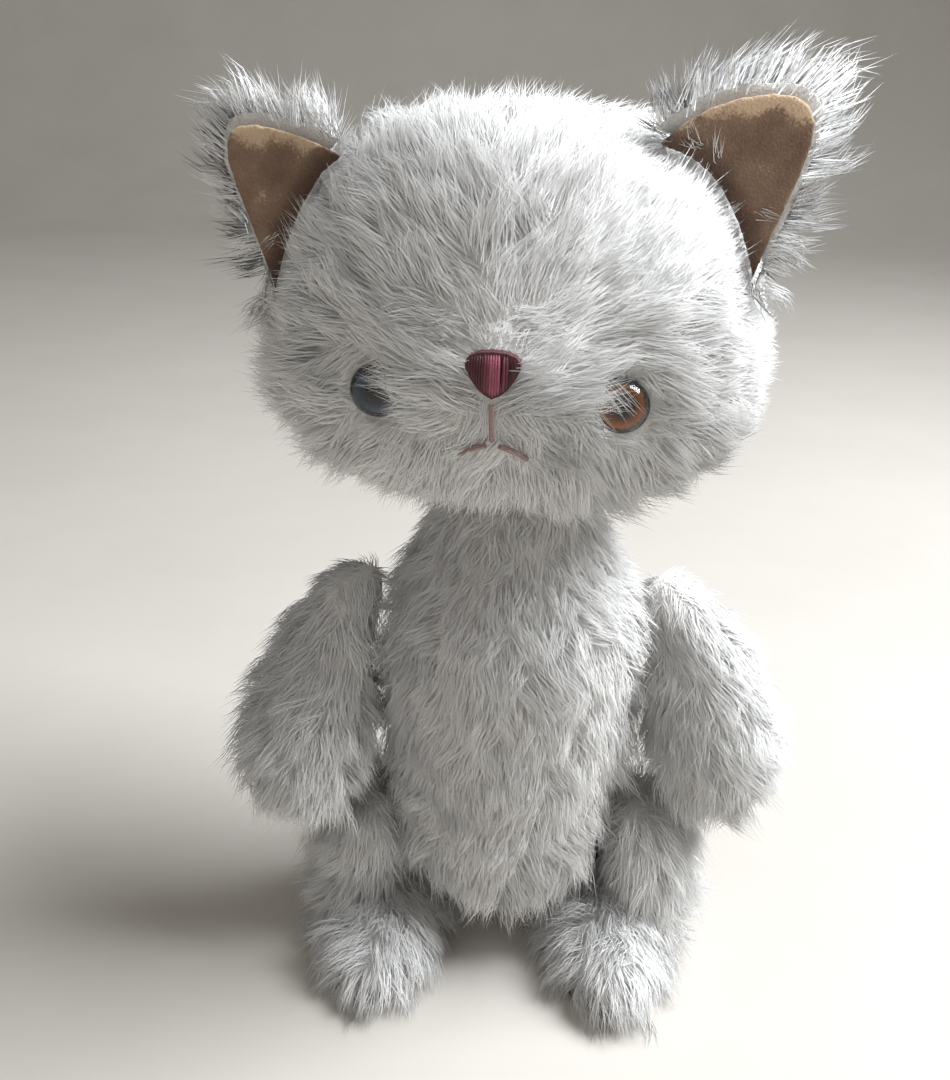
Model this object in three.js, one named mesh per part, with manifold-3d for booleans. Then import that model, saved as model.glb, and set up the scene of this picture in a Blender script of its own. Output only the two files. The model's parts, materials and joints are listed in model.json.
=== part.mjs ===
// Five-way jointed plush cat that stands on its feet.
// Millimetres, +Z up. The face looks towards -Y and the cat's left side is towards +X.
// The origin is on the floor under the middle of the whole toy.
//
// Each skin is mohair cloth with the dense foot of its pile, sewn into a bag round firm stuffing.
// Head, arms and legs turn on disc joints: a board disc and a washer on each side of the two
// cloths, held by one split pin whose legs are curled over inside the torso.

import * as THREE from "three";
import { mergeVertices } from "three/addons/utils/BufferGeometryUtils.js";
import Module from "manifold-3d";

const wasm = await Module();
wasm.setup();

const DEGREE = Math.PI / 180;

// ---------------------------------------------------------------- sizes

// Fits
const GAP = 0.3; // between two pieces that lie against each other
const WALL = 4; // thickness of cloth and dense pile
const BIG = 300; // larger than the toy, for trimming planes
const WELD = 1e-4; // points closer than this are one point

// Torso
const HIP_HEIGHT = 36;
const BELLY_DROP = 15; // from the hip axis down to the bottom of the belly
const TORSO_HEIGHT = 128;
const TORSO_HALF_WIDTH = 35;
const TORSO_FRONT = 32;
const TORSO_BACK = 29;
const PELLET_DEPTH = 25; // height of the weight bag in the belly

// Head
const HEAD_HALF_WIDTH = 61.5;
const HEAD_HEIGHT = 89;
const HEAD_FRONT = 44;
const HEAD_BACK = 43;
const HEAD_SHIFT = -2; // the head is set a little to the cat's right
const HEAD_TURN = -5 * DEGREE;
const MUZZLE_HEIGHT = 34; // centre of the muzzle above the bottom of the head
const MUZZLE_PROUD = 6;
const MUZZLE_SPREAD = 16;

// Eyes, nose and mouth, heights above the bottom of the head
const EYE_HEIGHT = 30.5;
const EYE_HALF_SPACING = 27.5;
const EYE_RADIUS = 6;
const EYE_DOME = 4;
const EYE_RIM = 0.8;
const EYE_SINK = 2.6; // how far the eye's back lies under the pile
const IRIS_RADIUS = 5.4;
const IRIS_THICKNESS = 0.5;
const EYE_WIRE_RADIUS = 0.6;
const EYE_WIRE_LENGTH = 6;
const EYE_LOOP_RADIUS = 1.6; // loop at the end of the shank
const EYE_LOOP_ROOM = 3; // beyond the loop, for the tying thread
const EYE_OPENING = 75; // how far out the pile is cut away in front of an eye
const NOSE_HEIGHT = 39;
const NOSE_WIDTH = 12;
const NOSE_DROP = 10;
const NOSE_THICKNESS = 2.6;
const NOSE_SINK = 1.4;
const NOSE_PARTING = 4; // how far the pile is cut away in front of the nose
const NOSE_ABOVE = 0.45; // share of the nose that lies above its seat
// Points that shape the nose, as shares of its half width and of its part above or below the seat
const NOSE_BROW = 1.1;
const NOSE_CORNER = [0.95, 0.2];
const NOSE_CHEEK = [0.6, 0.8];
const THREAD_RADIUS = 0.6;
const MOUTH_TOP = 32;
const MOUTH_FORK = 23.5;
const MOUTH_END = 18.5;
const MOUTH_HALF_WIDTH = 7.5;
const MOUTH_SAG = 0.4; // how far each fork bows down at its middle
const MOUTH_BOW = 0.62; // share of the half width at which a fork bows down

// Arms, measured from the shoulder axis
const SHOULDER_DROP = 42; // below the neck joint
const SHOULDER_FLAT = 0.89; // how deep the flat for the arm lies in the side of the torso
const ARM_LENGTH = 74;
const ARM_ABOVE = 14;
const ARM_HALF_WIDTH = 17.5;
const ARM_HALF_DEPTH = 16;
const ARM_SETOFF = 19; // how far out the middle of the paw lies
const PAW_FORWARD = 7;
const ARM_ROOT_SHARE = 0.45; // how much of the set-off the arm has already at its top
const ARM_CURVE = 2.1; // radians of a sine that the arm bends along
const SHOULDER_SPLAY = { left: 9 * DEGREE, right: 5 * DEGREE };
const ARM_SWING = { left: 0, right: 14 * DEGREE }; // how far forward each arm hangs

// Legs, measured from the hip axis
const HIP_OUT = 30.5;
const THIGH_ABOVE = 17;
const THIGH_LENGTH = 48;
const THIGH_HALF_WIDTH = 13.5;
const THIGH_HALF_DEPTH = 17.5;
const THIGH_SETOFF = 12;
const THIGH_LEAN = 3; // how far in the top of the thigh lies
const FOOT_HALF_WIDTH = 17.5;
const FOOT_FRONT = 30;
const FOOT_BACK = 27;
const FOOT_RISE = 20;
const FOOT_OUT = { left: 2, right: 5 }; // middle of each foot, out from the hip plane
const FOOT_FORWARD = 12;
const SOLE_PAD = 1.5;
const SOLE_SHARE = 0.9; // of the foot's widest outline
const INSOLE = 1.5;

// Tail
const TAIL_LENGTH = 46;
const TAIL_RADIUS = 7;
const TAIL_HEIGHT = 38;
const TAIL_WALL = 2.5;
const TAIL_LIFT = 42 * DEGREE;
const TAIL_CURVE = 5; // how far the tip bends up
const TAIL_BURY = 6; // how far its root starts inside the torso before it is cut to fit

// Ears
const EAR_BACK_THICKNESS = 5;
const EAR_LINING_THICKNESS = 1.2;
const EAR_PILE_EDGE = 6; // dense pile that stands out round the lining
const EAR_CURL = 0.012; // forward curl per millimetre squared from the ear's middle line
const EAR_DEPTH = -14; // front face of the ear, before or behind the head's middle
const EAR_CREASES = [-15, -7.5, 0, 7.5, 15]; // lines beside the ear's middle that it curls at
const EAR_TIP_ROUND = 0.38; // share of the outer edge taken up by the rounded tip
const EAR_SHOULDER_ROUND = 0.45; // share of the upper edge taken up by the rounded shoulder
// Corners across from the head's middle and up from its bottom: the lower end of the base, the
// tip, the shoulder of the upper edge, and the inner end of the base
const EARS = {
  left: { low: [51, 48], tip: [67, 94], shoulder: [36, 92], inner: [26, 77] },
  right: { low: [-55, 45], tip: [-71, 84], shoulder: [-46, 82], inner: [-33, 74] },
};

// Disc joints
const DISC = 2;
const SHOULDER_DISC = 5.8; // radius, as for the two below
const HIP_DISC = 8.5;
const NECK_DISC = 12;
const WASHER = 0.8;
const WASHER_RADIUS = 4;
const PIN_RADIUS = 1;
const PIN_EYE_RADIUS = 1.7;
const PIN_EYE_WIRE = 0.7;
const PIN_LEG_WIRE = 0.55;
const PIN_LEG_APART = 0.3; // from the pin's middle to the middle of each leg
const PIN_LAP = 0.6; // how far the parts of a pin run into each other
const PIN_SHAFT_OVER = 0.8; // how far the shaft runs past its seat, into the eye
const PIN_EYE_OFF = 0.5; // from the seat to the eye's ring
const PIN_CURL_DROP = 3;
const PIN_CURL_SPREAD = 3.4;
const PIN_CURL_BEND = 0.6; // share of the drop and of the spread at which a leg bends
const PIN_LEG_END = 0.9; // height of a leg's end above the washer
const PIN_ROOM = 4.8; // beyond the washer, for the pin's eye or curled legs
const PIN_HOLE = PIN_RADIUS + GAP;
const DISC_FACE = GAP / 2 + WALL + GAP; // from the joint's plane to the first face of a disc
const WASHER_FACE = DISC_FACE + DISC + GAP;
const PIN_SEAT = WASHER_FACE + WASHER + GAP;
const POCKET_DEPTH = PIN_SEAT + PIN_ROOM;
const ROOT_CLEARANCE = 6; // how far the torso is kept flat round the root of a limb

// Segments round and rings up of each turned shape, and of the hollow inside it
const TORSO_MESH = [24, 16];
const TORSO_CORE_MESH = [14, 10];
const HEAD_MESH = [28, 18];
const HEAD_CORE_MESH = [16, 11];
const ARM_MESH = [18, 12];
const ARM_CORE_MESH = [10, 8];
const LEG_MESH = [16, 10];
const LEG_CORE_MESH = [10, 7];
const FOOT_EXTRA_SEGMENTS = 4;
const TAIL_MESH = [12, 8];
const TAIL_CORE_MESH = [10, 7];
const EYE_SIDES = 16;
const EYE_RINGS = 4;
const DISC_SIDES = 14;
const WASHER_SIDES = 10;
const HOLE_SIDES = 8;
const WIRE_SIDES = 6;
const PIN_EYE_MESH = [5, 8];
const PIN_LEG_STEPS = 4;
const PIN_LEG_SIDES = 4;
const EYE_LOOP_MESH = [4, 8];
const THREAD_STEPS = 6;
const NOSE_CURVE_STEPS = 4;
const EAR_CURVE_STEPS = 5;
const SOLE_CURVE_STEPS = 9;
const FINE_STEPS = 2000; // along an outline, to find a place on it

const SIDES = [
  ["left", 1],
  ["right", -1],
];

// ---------------------------------------------------------------- derived places

const BELLY_Z = HIP_HEIGHT - BELLY_DROP;
const NECK_Z = BELLY_Z + TORSO_HEIGHT;
const SHOULDER_Z = NECK_Z - SHOULDER_DROP;

const TORSO = {
  outline: [
    [0, -0.005],
    [0.44, 0.005],
    [0.7, 0.05],
    [0.82, 0.11],
    [0.875, 0.18],
    [0.9, 0.27],
    [0.945, 0.37],
    [0.985, 0.49],
    [1, 0.6],
    [0.97, 0.69],
    [0.85, 0.78],
    [0.69, 0.87],
    [0.6, 0.94],
    [0.56, 1.01],
    [0.4, 1.06],
    [0, 1.07],
  ],
  height: TORSO_HEIGHT,
  halfWidth: TORSO_HALF_WIDTH,
  front: TORSO_FRONT,
  back: TORSO_BACK,
};

// Half the width of the torso at a height above the floor.
function torsoHalfWidthAt(z) {
  const side = new THREE.SplineCurve(TORSO.outline.map((point) => new THREE.Vector2(...point)));
  const share = (z - BELLY_Z) / TORSO_HEIGHT;
  return TORSO_HALF_WIDTH * side.getPoints(FINE_STEPS).find(({ y }) => y >= share).x;
}

const SHOULDER_OUT = torsoHalfWidthAt(SHOULDER_Z) - SHOULDER_FLAT;

// ---------------------------------------------------------------- materials

const finish = (color, roughness, metalness = 0) =>
  new THREE.MeshStandardMaterial({ color, roughness, metalness });
const MOHAIR = finish(0xe9e6e0, 0.95);
const STUFFING = finish(0xf2f0ea, 1);
const PELLETS = finish(0xcfcabd, 0.8);
const EAR_FELT = finish(0x7d5f45, 0.95);
const BOARD = finish(0x8a6a45, 0.85);
const STEEL = finish(0xb9bcc0, 0.35, 1);
const GLASS = finish(0xe8eef0, 0.05);
const BLUE_IRIS = finish(0x24405c, 0.3);
const AMBER_IRIS = finish(0x8a4a12, 0.3);
const NOSE_THREAD = finish(0x6e2430, 0.5);
const MOUTH_THREAD = finish(0x8d6a60, 0.6);

// ---------------------------------------------------------------- making and cutting solids

// A closed geometry with shared points and no normals, ready to be cut.
function welded(geometry) {
  const bare = new THREE.BufferGeometry();
  bare.setAttribute("position", geometry.attributes.position.clone());
  bare.setIndex(geometry.index ? geometry.index.clone() : null);
  const merged = mergeVertices(bare, WELD);
  const kept = [];
  const index = merged.index.array;
  for (let i = 0; i < index.length; i += 3) {
    const [a, b, c] = [index[i], index[i + 1], index[i + 2]];
    if (a !== b && b !== c && c !== a) kept.push(a, b, c);
  }
  merged.setIndex(kept);
  return merged;
}

function solid(geometry) {
  const closed = welded(geometry);
  return new wasm.Manifold(
    new wasm.Mesh({
      numProp: 3,
      vertProperties: new Float32Array(closed.attributes.position.array),
      triVerts: new Uint32Array(closed.index.array),
    }),
  );
}

function surface(manifold) {
  const { vertProperties, triVerts } = manifold.getMesh();
  const geometry = new THREE.BufferGeometry();
  geometry.setAttribute("position", new THREE.BufferAttribute(vertProperties, 3));
  geometry.setIndex(new THREE.BufferAttribute(triVerts, 1));
  geometry.computeVertexNormals();
  return geometry;
}

function moved(manifold, matrix) {
  return solid(surface(manifold).applyMatrix4(matrix));
}

// Turns the faces of a geometry out again after it was mirrored.
function turnedOut(geometry) {
  const index = geometry.index.array;
  for (let i = 0; i < index.length; i += 3) [index[i], index[i + 1]] = [index[i + 1], index[i]];
  return geometry;
}

// What lies between two planes across one axis: 0 for X, 1 for Y, 2 for Z.
function slab(manifold, axis, low, high) {
  const size = [BIG * 2, BIG * 2, BIG * 2];
  const centre = [0, 0, 0];
  size[axis] = high - low;
  centre[axis] = (low + high) / 2;
  return manifold.intersect(solid(new THREE.BoxGeometry(...size).translate(...centre)));
}

// A cylinder along X from one place to another.
function rod(radius, from, to, sides) {
  const bar = new THREE.CylinderGeometry(radius, radius, to - from, sides);
  return bar.rotateZ(Math.PI / 2).translate((from + to) / 2, 0, 0);
}

// A thin round wire or thread along a smooth line through points.
function strand(points, radius, steps, sides = WIRE_SIDES) {
  const section = new THREE.Shape().absarc(0, 0, radius, 0, 2 * Math.PI);
  const line = new THREE.CatmullRomCurve3(points.map((point) => new THREE.Vector3(...point)));
  return new THREE.ExtrudeGeometry(section, {
    steps,
    curveSegments: sides / 2,
    extrudePath: line,
  });
}

// A sewn and stuffed shape that stands on Z = 0. Its outline gives the share of the half width at
// each share of the height; bend moves the middle line and bulge pushes the front out.
function stuffed(piece, [segments, rings], inward) {
  const { outline, height, halfWidth, front, back, square = 2, bend, bulge } = piece;
  const curve = new THREE.SplineCurve(outline.map(([across, up]) => new THREE.Vector2(across, up)));
  const profile = curve.getPoints(rings).map(({ x, y }) => new THREE.Vector2(Math.max(x, 0), y));
  profile[0].x = 0;
  profile[rings].x = 0;
  const turned = new THREE.LatheGeometry(profile, segments).rotateX(Math.PI / 2);
  const shape = welded(turned);
  const points = shape.attributes.position;
  for (let i = 0; i < points.count; i++) {
    const [x, y, share] = [points.getX(i), points.getY(i), points.getZ(i)];
    const reach = Math.hypot(x, y);
    const turn = Math.atan2(y, x);
    const squared = Math.abs(Math.cos(turn)) ** square + Math.abs(Math.sin(turn)) ** square;
    const corner = squared ** (-1 / square);
    const [overX, overY] = bend ? bend(share) : [0, 0];
    const px = reach * corner * Math.cos(turn) * halfWidth + overX;
    const py = reach * corner * Math.sin(turn) * (y < 0 ? front : back) + overY;
    const pz = share * height;
    points.setXYZ(i, px, py - (bulge && y < 0 ? bulge(px, pz) : 0), pz);
  }
  if (inward === 0) return shape;
  shape.computeVertexNormals();
  const normals = shape.attributes.normal;
  for (let i = 0; i < points.count; i++) {
    const step = new THREE.Vector3().fromBufferAttribute(normals, i).multiplyScalar(-inward);
    points.setXYZ(i, points.getX(i) + step.x, points.getY(i) + step.y, points.getZ(i) + step.z);
  }
  return shape;
}

function part(name, manifold, material) {
  const mesh = new THREE.Mesh(surface(manifold), material);
  mesh.name = name;
  return mesh;
}

// ---------------------------------------------------------------- disc joints

// A joint lies in its own frame: the plane where the two cloths meet is X = 0, the limb is on the
// +X side and the torso on the -X side.
function jointFrame(place, splay) {
  const frame = new THREE.Group();
  frame.position.set(...place);
  frame.rotation.y = splay;
  frame.updateMatrix();
  return frame;
}

// The room that a joint's pieces take up on one side, from the inside of the cloth.
function pocket(radius, towards) {
  const near = GAP / 2 + WALL;
  const ends = [towards * near, towards * POCKET_DEPTH].sort((a, b) => a - b);
  return solid(rod(radius + GAP, ...ends, DISC_SIDES));
}

function pinHole() {
  return solid(rod(PIN_HOLE, -POCKET_DEPTH, POCKET_DEPTH, HOLE_SIDES));
}

function disc(radius, towards) {
  const ends = [towards * DISC_FACE, towards * (DISC_FACE + DISC)].sort((a, b) => a - b);
  return solid(rod(radius, ...ends, DISC_SIDES)).subtract(pinHole());
}

function washer(towards) {
  const ends = [towards * WASHER_FACE, towards * (WASHER_FACE + WASHER)].sort((a, b) => a - b);
  return solid(rod(WASHER_RADIUS, ...ends, WASHER_SIDES)).subtract(pinHole());
}

// One split pin: a round eye against the limb's washer and two legs curled back on the torso's.
function splitPin() {
  const shaft = solid(rod(PIN_RADIUS, -PIN_SEAT - PIN_LAP, PIN_SEAT + PIN_SHAFT_OVER, WIRE_SIDES));
  const eye = new THREE.TorusGeometry(PIN_EYE_RADIUS, PIN_EYE_WIRE, ...PIN_EYE_MESH);
  let pin = shaft.add(solid(eye.translate(PIN_SEAT + PIN_EYE_RADIUS + PIN_EYE_OFF, 0, 0)));
  for (const side of [-1, 1]) {
    const leg = [
      [-PIN_SEAT + PIN_LAP, side * PIN_LEG_APART, 0],
      [-PIN_SEAT - PIN_CURL_DROP * PIN_CURL_BEND, side * 2 * PIN_LEG_APART, 0],
      [-PIN_SEAT - PIN_CURL_DROP, side * PIN_CURL_SPREAD * PIN_CURL_BEND, 0],
      [-PIN_SEAT - PIN_LEG_END, side * PIN_CURL_SPREAD, 0],
    ];
    pin = pin.add(solid(strand(leg, PIN_LEG_WIRE, PIN_LEG_STEPS, PIN_LEG_SIDES)));
  }
  return pin;
}

// Adds the five pieces of one joint: two stay with the torso and three turn with the limb.
function addJoint(name, radius, torsoSide, limbSide) {
  torsoSide.add(part(`${name}_torso_disc`, disc(radius, -1), BOARD));
  torsoSide.add(part(`${name}_torso_washer`, washer(-1), STEEL));
  limbSide.add(part(`${name}_limb_disc`, disc(radius, 1), BOARD));
  limbSide.add(part(`${name}_limb_washer`, washer(1), STEEL));
  limbSide.add(part(`${name}_split_pin`, splitPin(), STEEL));
}

const neckFrame = jointFrame([0, 0, NECK_Z], -90 * DEGREE);
const limbFrames = [];
for (const [side, sign] of SIDES) {
  const shoulder = [sign * SHOULDER_OUT, 0, SHOULDER_Z];
  const hip = [sign * HIP_OUT, 0, HIP_HEIGHT];
  const inward = sign < 0 ? Math.PI : 0; // turns the frame's +X away from the torso
  limbFrames.push({
    name: `${side}_shoulder`,
    radius: SHOULDER_DISC,
    reach: ARM_ABOVE + ROOT_CLEARANCE,
    frame: jointFrame(shoulder, inward - sign * SHOULDER_SPLAY[side]),
  });
  limbFrames.push({
    name: `${side}_hip`,
    radius: HIP_DISC,
    reach: THIGH_ABOVE + ROOT_CLEARANCE,
    frame: jointFrame(hip, inward),
  });
}

const cat = new THREE.Group();
const torso = new THREE.Group();
cat.add(torso);

// ---------------------------------------------------------------- torso and tail

function torsoShape(mesh, inward) {
  return solid(stuffed(TORSO, mesh, inward).translate(0, 0, BELLY_Z));
}

// Everything on the far side of a limb's plane, seen from the torso, as far as the limb's root goes.
function beyond({ frame, reach }, depth) {
  const block = new THREE.BoxGeometry(BIG, BIG, 2 * reach).translate(BIG / 2 - depth, 0, 0);
  return solid(block.applyMatrix4(frame.matrix));
}

const neckTop = NECK_Z - GAP / 2;
let torsoOuter = slab(torsoShape(TORSO_MESH, 0), 2, 0, neckTop);
let torsoHollow = slab(torsoShape(TORSO_CORE_MESH, WALL), 2, 0, neckTop - WALL);
let torsoFill = slab(torsoShape(TORSO_CORE_MESH, WALL + GAP), 2, 0, neckTop - WALL - GAP);
for (const joint of limbFrames) {
  torsoOuter = torsoOuter.subtract(beyond(joint, GAP / 2));
  torsoHollow = torsoHollow.subtract(beyond(joint, GAP / 2 + WALL));
  torsoFill = torsoFill.subtract(beyond(joint, GAP / 2 + WALL + GAP));
}
let torsoSkin = torsoOuter.subtract(torsoHollow);
for (const { frame, radius } of [...limbFrames, { frame: neckFrame, radius: NECK_DISC }]) {
  torsoSkin = torsoSkin.subtract(moved(pinHole(), frame.matrix));
  torsoSkin = torsoSkin.subtract(moved(pocket(radius, -1), frame.matrix));
  torsoFill = torsoFill.subtract(moved(pocket(radius, -1), frame.matrix));
}
const pelletTop = BELLY_Z + PELLET_DEPTH;
torso.add(part("torso_skin", torsoSkin, MOHAIR));
torso.add(part("torso_stuffing", slab(torsoFill, 2, pelletTop + GAP / 2, BIG), STUFFING));
torso.add(part("pellet_bag", slab(torsoFill, 2, 0, pelletTop - GAP / 2), PELLETS));

const TAIL = {
  outline: [
    [0, -0.01],
    [0.8, 0.0],
    [0.95, 0.25],
    [1, 0.6],
    [0.85, 0.88],
    [0, 1],
  ],
  height: TAIL_LENGTH,
  halfWidth: TAIL_RADIUS,
  front: TAIL_RADIUS,
  back: TAIL_RADIUS,
  bend: (share) => [0, -TAIL_CURVE * share * share],
};

function tailShape(mesh, inward) {
  const shape = stuffed(TAIL, mesh, inward);
  const root = TORSO_BACK - TAIL_BURY;
  return solid(shape.rotateX(TAIL_LIFT - Math.PI / 2).translate(0, root, TAIL_HEIGHT));
}

const torsoClear = torsoShape(TORSO_MESH, -GAP);
const tailHollow = tailShape(TAIL_CORE_MESH, TAIL_WALL);
const tailFill = tailShape(TAIL_CORE_MESH, TAIL_WALL + GAP);
const tailSkin = tailShape(TAIL_MESH, 0).subtract(tailHollow).subtract(torsoClear);
torso.add(part("tail_skin", tailSkin, MOHAIR));
torso.add(part("tail_stuffing", tailFill.subtract(torsoClear), STUFFING));

// ---------------------------------------------------------------- head

const head = new THREE.Group();
head.position.z = NECK_Z;
head.rotation.z = HEAD_TURN;
cat.add(head);

const HEAD = {
  outline: [
    [0, -0.02],
    [0.42, -0.01],
    [0.6, 0.02],
    [0.76, 0.065],
    [0.88, 0.13],
    [0.965, 0.22],
    [1, 0.32],
    [0.99, 0.43],
    [0.95, 0.56],
    [0.88, 0.69],
    [0.785, 0.81],
    [0.66, 0.905],
    [0.45, 0.965],
    [0, 1],
  ],
  height: HEAD_HEIGHT,
  halfWidth: HEAD_HALF_WIDTH,
  front: HEAD_FRONT,
  back: HEAD_BACK,
  square: 2.25,
  bulge: (x, z) => {
    const off = Math.hypot(x, z - MUZZLE_HEIGHT) / MUZZLE_SPREAD;
    return MUZZLE_PROUD * Math.exp(-off * off);
  },
};

function headShape(mesh, inward) {
  return solid(stuffed(HEAD, mesh, inward).translate(HEAD_SHIFT, 0, 0));
}

const headClear = headShape(HEAD_MESH, -GAP);
const headOuter = slab(headShape(HEAD_MESH, 0), 2, GAP / 2, BIG);
const faceMesh = new THREE.Mesh(surface(headOuter), MOHAIR);

// The point and outward direction of the face at a place seen from the front.
function onFace(x, z) {
  const ray = new THREE.Raycaster(new THREE.Vector3(x, -BIG, z), new THREE.Vector3(0, 1, 0));
  const [hit] = ray.intersectObject(faceMesh);
  return { point: hit.point, out: hit.face.normal.clone() };
}

const neckUpright = new THREE.Matrix4().makeRotationY(-90 * DEGREE);
const headHollow = slab(headShape(HEAD_CORE_MESH, WALL), 2, GAP / 2 + WALL, BIG);
let headSkin = headOuter.subtract(headHollow).subtract(moved(pinHole(), neckUpright));
let headFill = slab(headShape(HEAD_CORE_MESH, WALL + GAP), 2, GAP / 2 + WALL + GAP, BIG);
headFill = headFill.subtract(moved(pocket(NECK_DISC, 1), neckUpright));

// Glass eyes: a clear dome over a painted disc, with a wire shank that is drawn into the head.
// Each is made facing +X and turned to look along the face.
const domeProfile = [new THREE.Vector2(0, 0), new THREE.Vector2(EYE_RADIUS, 0)];
for (let step = 0; step <= EYE_RINGS; step++) {
  const turn = (step / EYE_RINGS) * (Math.PI / 2);
  const across = step === EYE_RINGS ? 0 : EYE_RADIUS * Math.cos(turn);
  domeProfile.push(new THREE.Vector2(across, EYE_RIM + EYE_DOME * Math.sin(turn)));
}
const dome = solid(new THREE.LatheGeometry(domeProfile, EYE_SIDES).rotateZ(-Math.PI / 2));
const irisBack = -GAP - IRIS_THICKNESS;
const iris = solid(rod(IRIS_RADIUS, irisBack, -GAP, EYE_SIDES));
const wireEnd = irisBack - GAP - EYE_WIRE_LENGTH;
const wireLoop = new THREE.TorusGeometry(EYE_LOOP_RADIUS, EYE_WIRE_RADIUS, ...EYE_LOOP_MESH);
const shank = solid(rod(EYE_WIRE_RADIUS, wireEnd + EYE_LOOP_RADIUS, irisBack - GAP, WIRE_SIDES));
const wire = shank.add(solid(wireLoop.translate(wireEnd, 0, 0)));
const socket = solid(rod(EYE_RADIUS + GAP, irisBack - GAP, EYE_OPENING, EYE_SIDES));
const loopHole = EYE_LOOP_RADIUS + EYE_WIRE_RADIUS + GAP;
const shankHole = solid(rod(loopHole, wireEnd - EYE_LOOP_ROOM, irisBack, HOLE_SIDES));

for (const [side, sign] of SIDES) {
  const { point, out } = onFace(HEAD_SHIFT + sign * EYE_HALF_SPACING, EYE_HEIGHT);
  const look = out.add(new THREE.Vector3(0, -1, 0)).normalize();
  const turn = new THREE.Quaternion().setFromUnitVectors(new THREE.Vector3(1, 0, 0), look);
  const seat = point.addScaledVector(look, -EYE_SINK);
  const place = new THREE.Matrix4().compose(seat, turn, new THREE.Vector3(1, 1, 1));
  headSkin = headSkin.subtract(moved(socket, place)).subtract(moved(shankHole, place));
  headFill = headFill.subtract(moved(shankHole, place));
  head.add(part(`${side}_eye_glass`, moved(dome, place), GLASS));
  head.add(part(`${side}_eye_iris`, moved(iris, place), side === "left" ? AMBER_IRIS : BLUE_IRIS));
  head.add(part(`${side}_eye_wire`, moved(wire, place), STEEL));
}

// Nose: satin stitches in a rounded triangle, point down.
function noseOutline(grow) {
  const half = NOSE_WIDTH / 2 + grow;
  const top = NOSE_DROP * NOSE_ABOVE + grow;
  const tip = -NOSE_DROP * (1 - NOSE_ABOVE) - grow;
  const brow = half * NOSE_BROW;
  const corner = [half * NOSE_CORNER[0], top * NOSE_CORNER[1]];
  const cheek = [half * NOSE_CHEEK[0], tip * NOSE_CHEEK[1]];
  const shape = new THREE.Shape();
  shape.moveTo(0, top);
  shape.quadraticCurveTo(brow, top, ...corner);
  shape.quadraticCurveTo(...cheek, 0, tip);
  shape.quadraticCurveTo(-cheek[0], cheek[1], -corner[0], corner[1]);
  shape.quadraticCurveTo(-brow, top, 0, top);
  return shape;
}

const noseSeat = onFace(HEAD_SHIFT, NOSE_HEIGHT).point;
const nosePlace = new THREE.Matrix4()
  .makeTranslation(noseSeat.x, noseSeat.y + NOSE_SINK, noseSeat.z)
  .multiply(new THREE.Matrix4().makeRotationX(90 * DEGREE));

function noseBlock(grow, depth) {
  const block = new THREE.ExtrudeGeometry(noseOutline(grow), {
    depth: depth + grow,
    curveSegments: NOSE_CURVE_STEPS,
    bevelEnabled: false,
  });
  return moved(solid(block.translate(0, 0, -grow)), nosePlace);
}

headSkin = headSkin.subtract(noseBlock(GAP, NOSE_THICKNESS + NOSE_PARTING));
head.add(part("nose_embroidery", noseBlock(0, NOSE_THICKNESS), NOSE_THREAD));

// Mouth: one long stitch down from the nose and two shorter ones that fork from its end.
function addStitch(name, places) {
  const points = places.map(([x, z]) => {
    const { x: px, y: py, z: pz } = onFace(HEAD_SHIFT + x, z).point;
    return [px, py, pz];
  });
  headSkin = headSkin.subtract(solid(strand(points, THREAD_RADIUS + GAP, THREAD_STEPS)));
  head.add(part(name, solid(strand(points, THREAD_RADIUS, THREAD_STEPS)), MOUTH_THREAD));
}

const forkGap = 2 * THREAD_RADIUS + GAP;
addStitch("mouth_stitch_middle", [
  [0, MOUTH_TOP],
  [0, (MOUTH_TOP + MOUTH_FORK) / 2],
  [0, MOUTH_FORK],
]);
for (const [side, sign] of SIDES) {
  addStitch(`mouth_stitch_${side}`, [
    [sign * forkGap, MOUTH_FORK - forkGap],
    [sign * MOUTH_HALF_WIDTH * MOUTH_BOW, (MOUTH_FORK + MOUTH_END) / 2 - MOUTH_SAG],
    [sign * MOUTH_HALF_WIDTH, MOUTH_END],
  ]);
}

head.add(part("head_skin", headSkin, MOHAIR));
head.add(part("head_stuffing", headFill, STUFFING));

// Ears: a pile-covered back and a short-nap lining, sewn edge to edge and curled forward.
function earCorners({ low, tip, shoulder, inner }) {
  return [low, tip, shoulder, inner].map(([x, y]) => new THREE.Vector2(x, y));
}

// The ear's outline grown outward by a margin, with its tip and shoulder rounded.
function earOutline(ear, margin) {
  const corners = earCorners(ear);
  const middle = corners.reduce((sum, corner) => sum.add(corner), new THREE.Vector2());
  middle.divideScalar(corners.length);
  const [a, b, c, d] = corners.map((corner) => {
    const away = corner.clone().sub(middle);
    return corner.clone().addScaledVector(away.normalize(), margin);
  });
  const start = b.clone().lerp(a, EAR_TIP_ROUND);
  const end = b.clone().lerp(c, EAR_SHOULDER_ROUND);
  const shape = new THREE.Shape();
  shape.moveTo(a.x, a.y);
  shape.lineTo(start.x, start.y);
  shape.quadraticCurveTo(b.x, b.y, end.x, end.y);
  shape.quadraticCurveTo(c.x, c.y, d.x, d.y);
  shape.lineTo(a.x, a.y);
  return shape;
}

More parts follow.
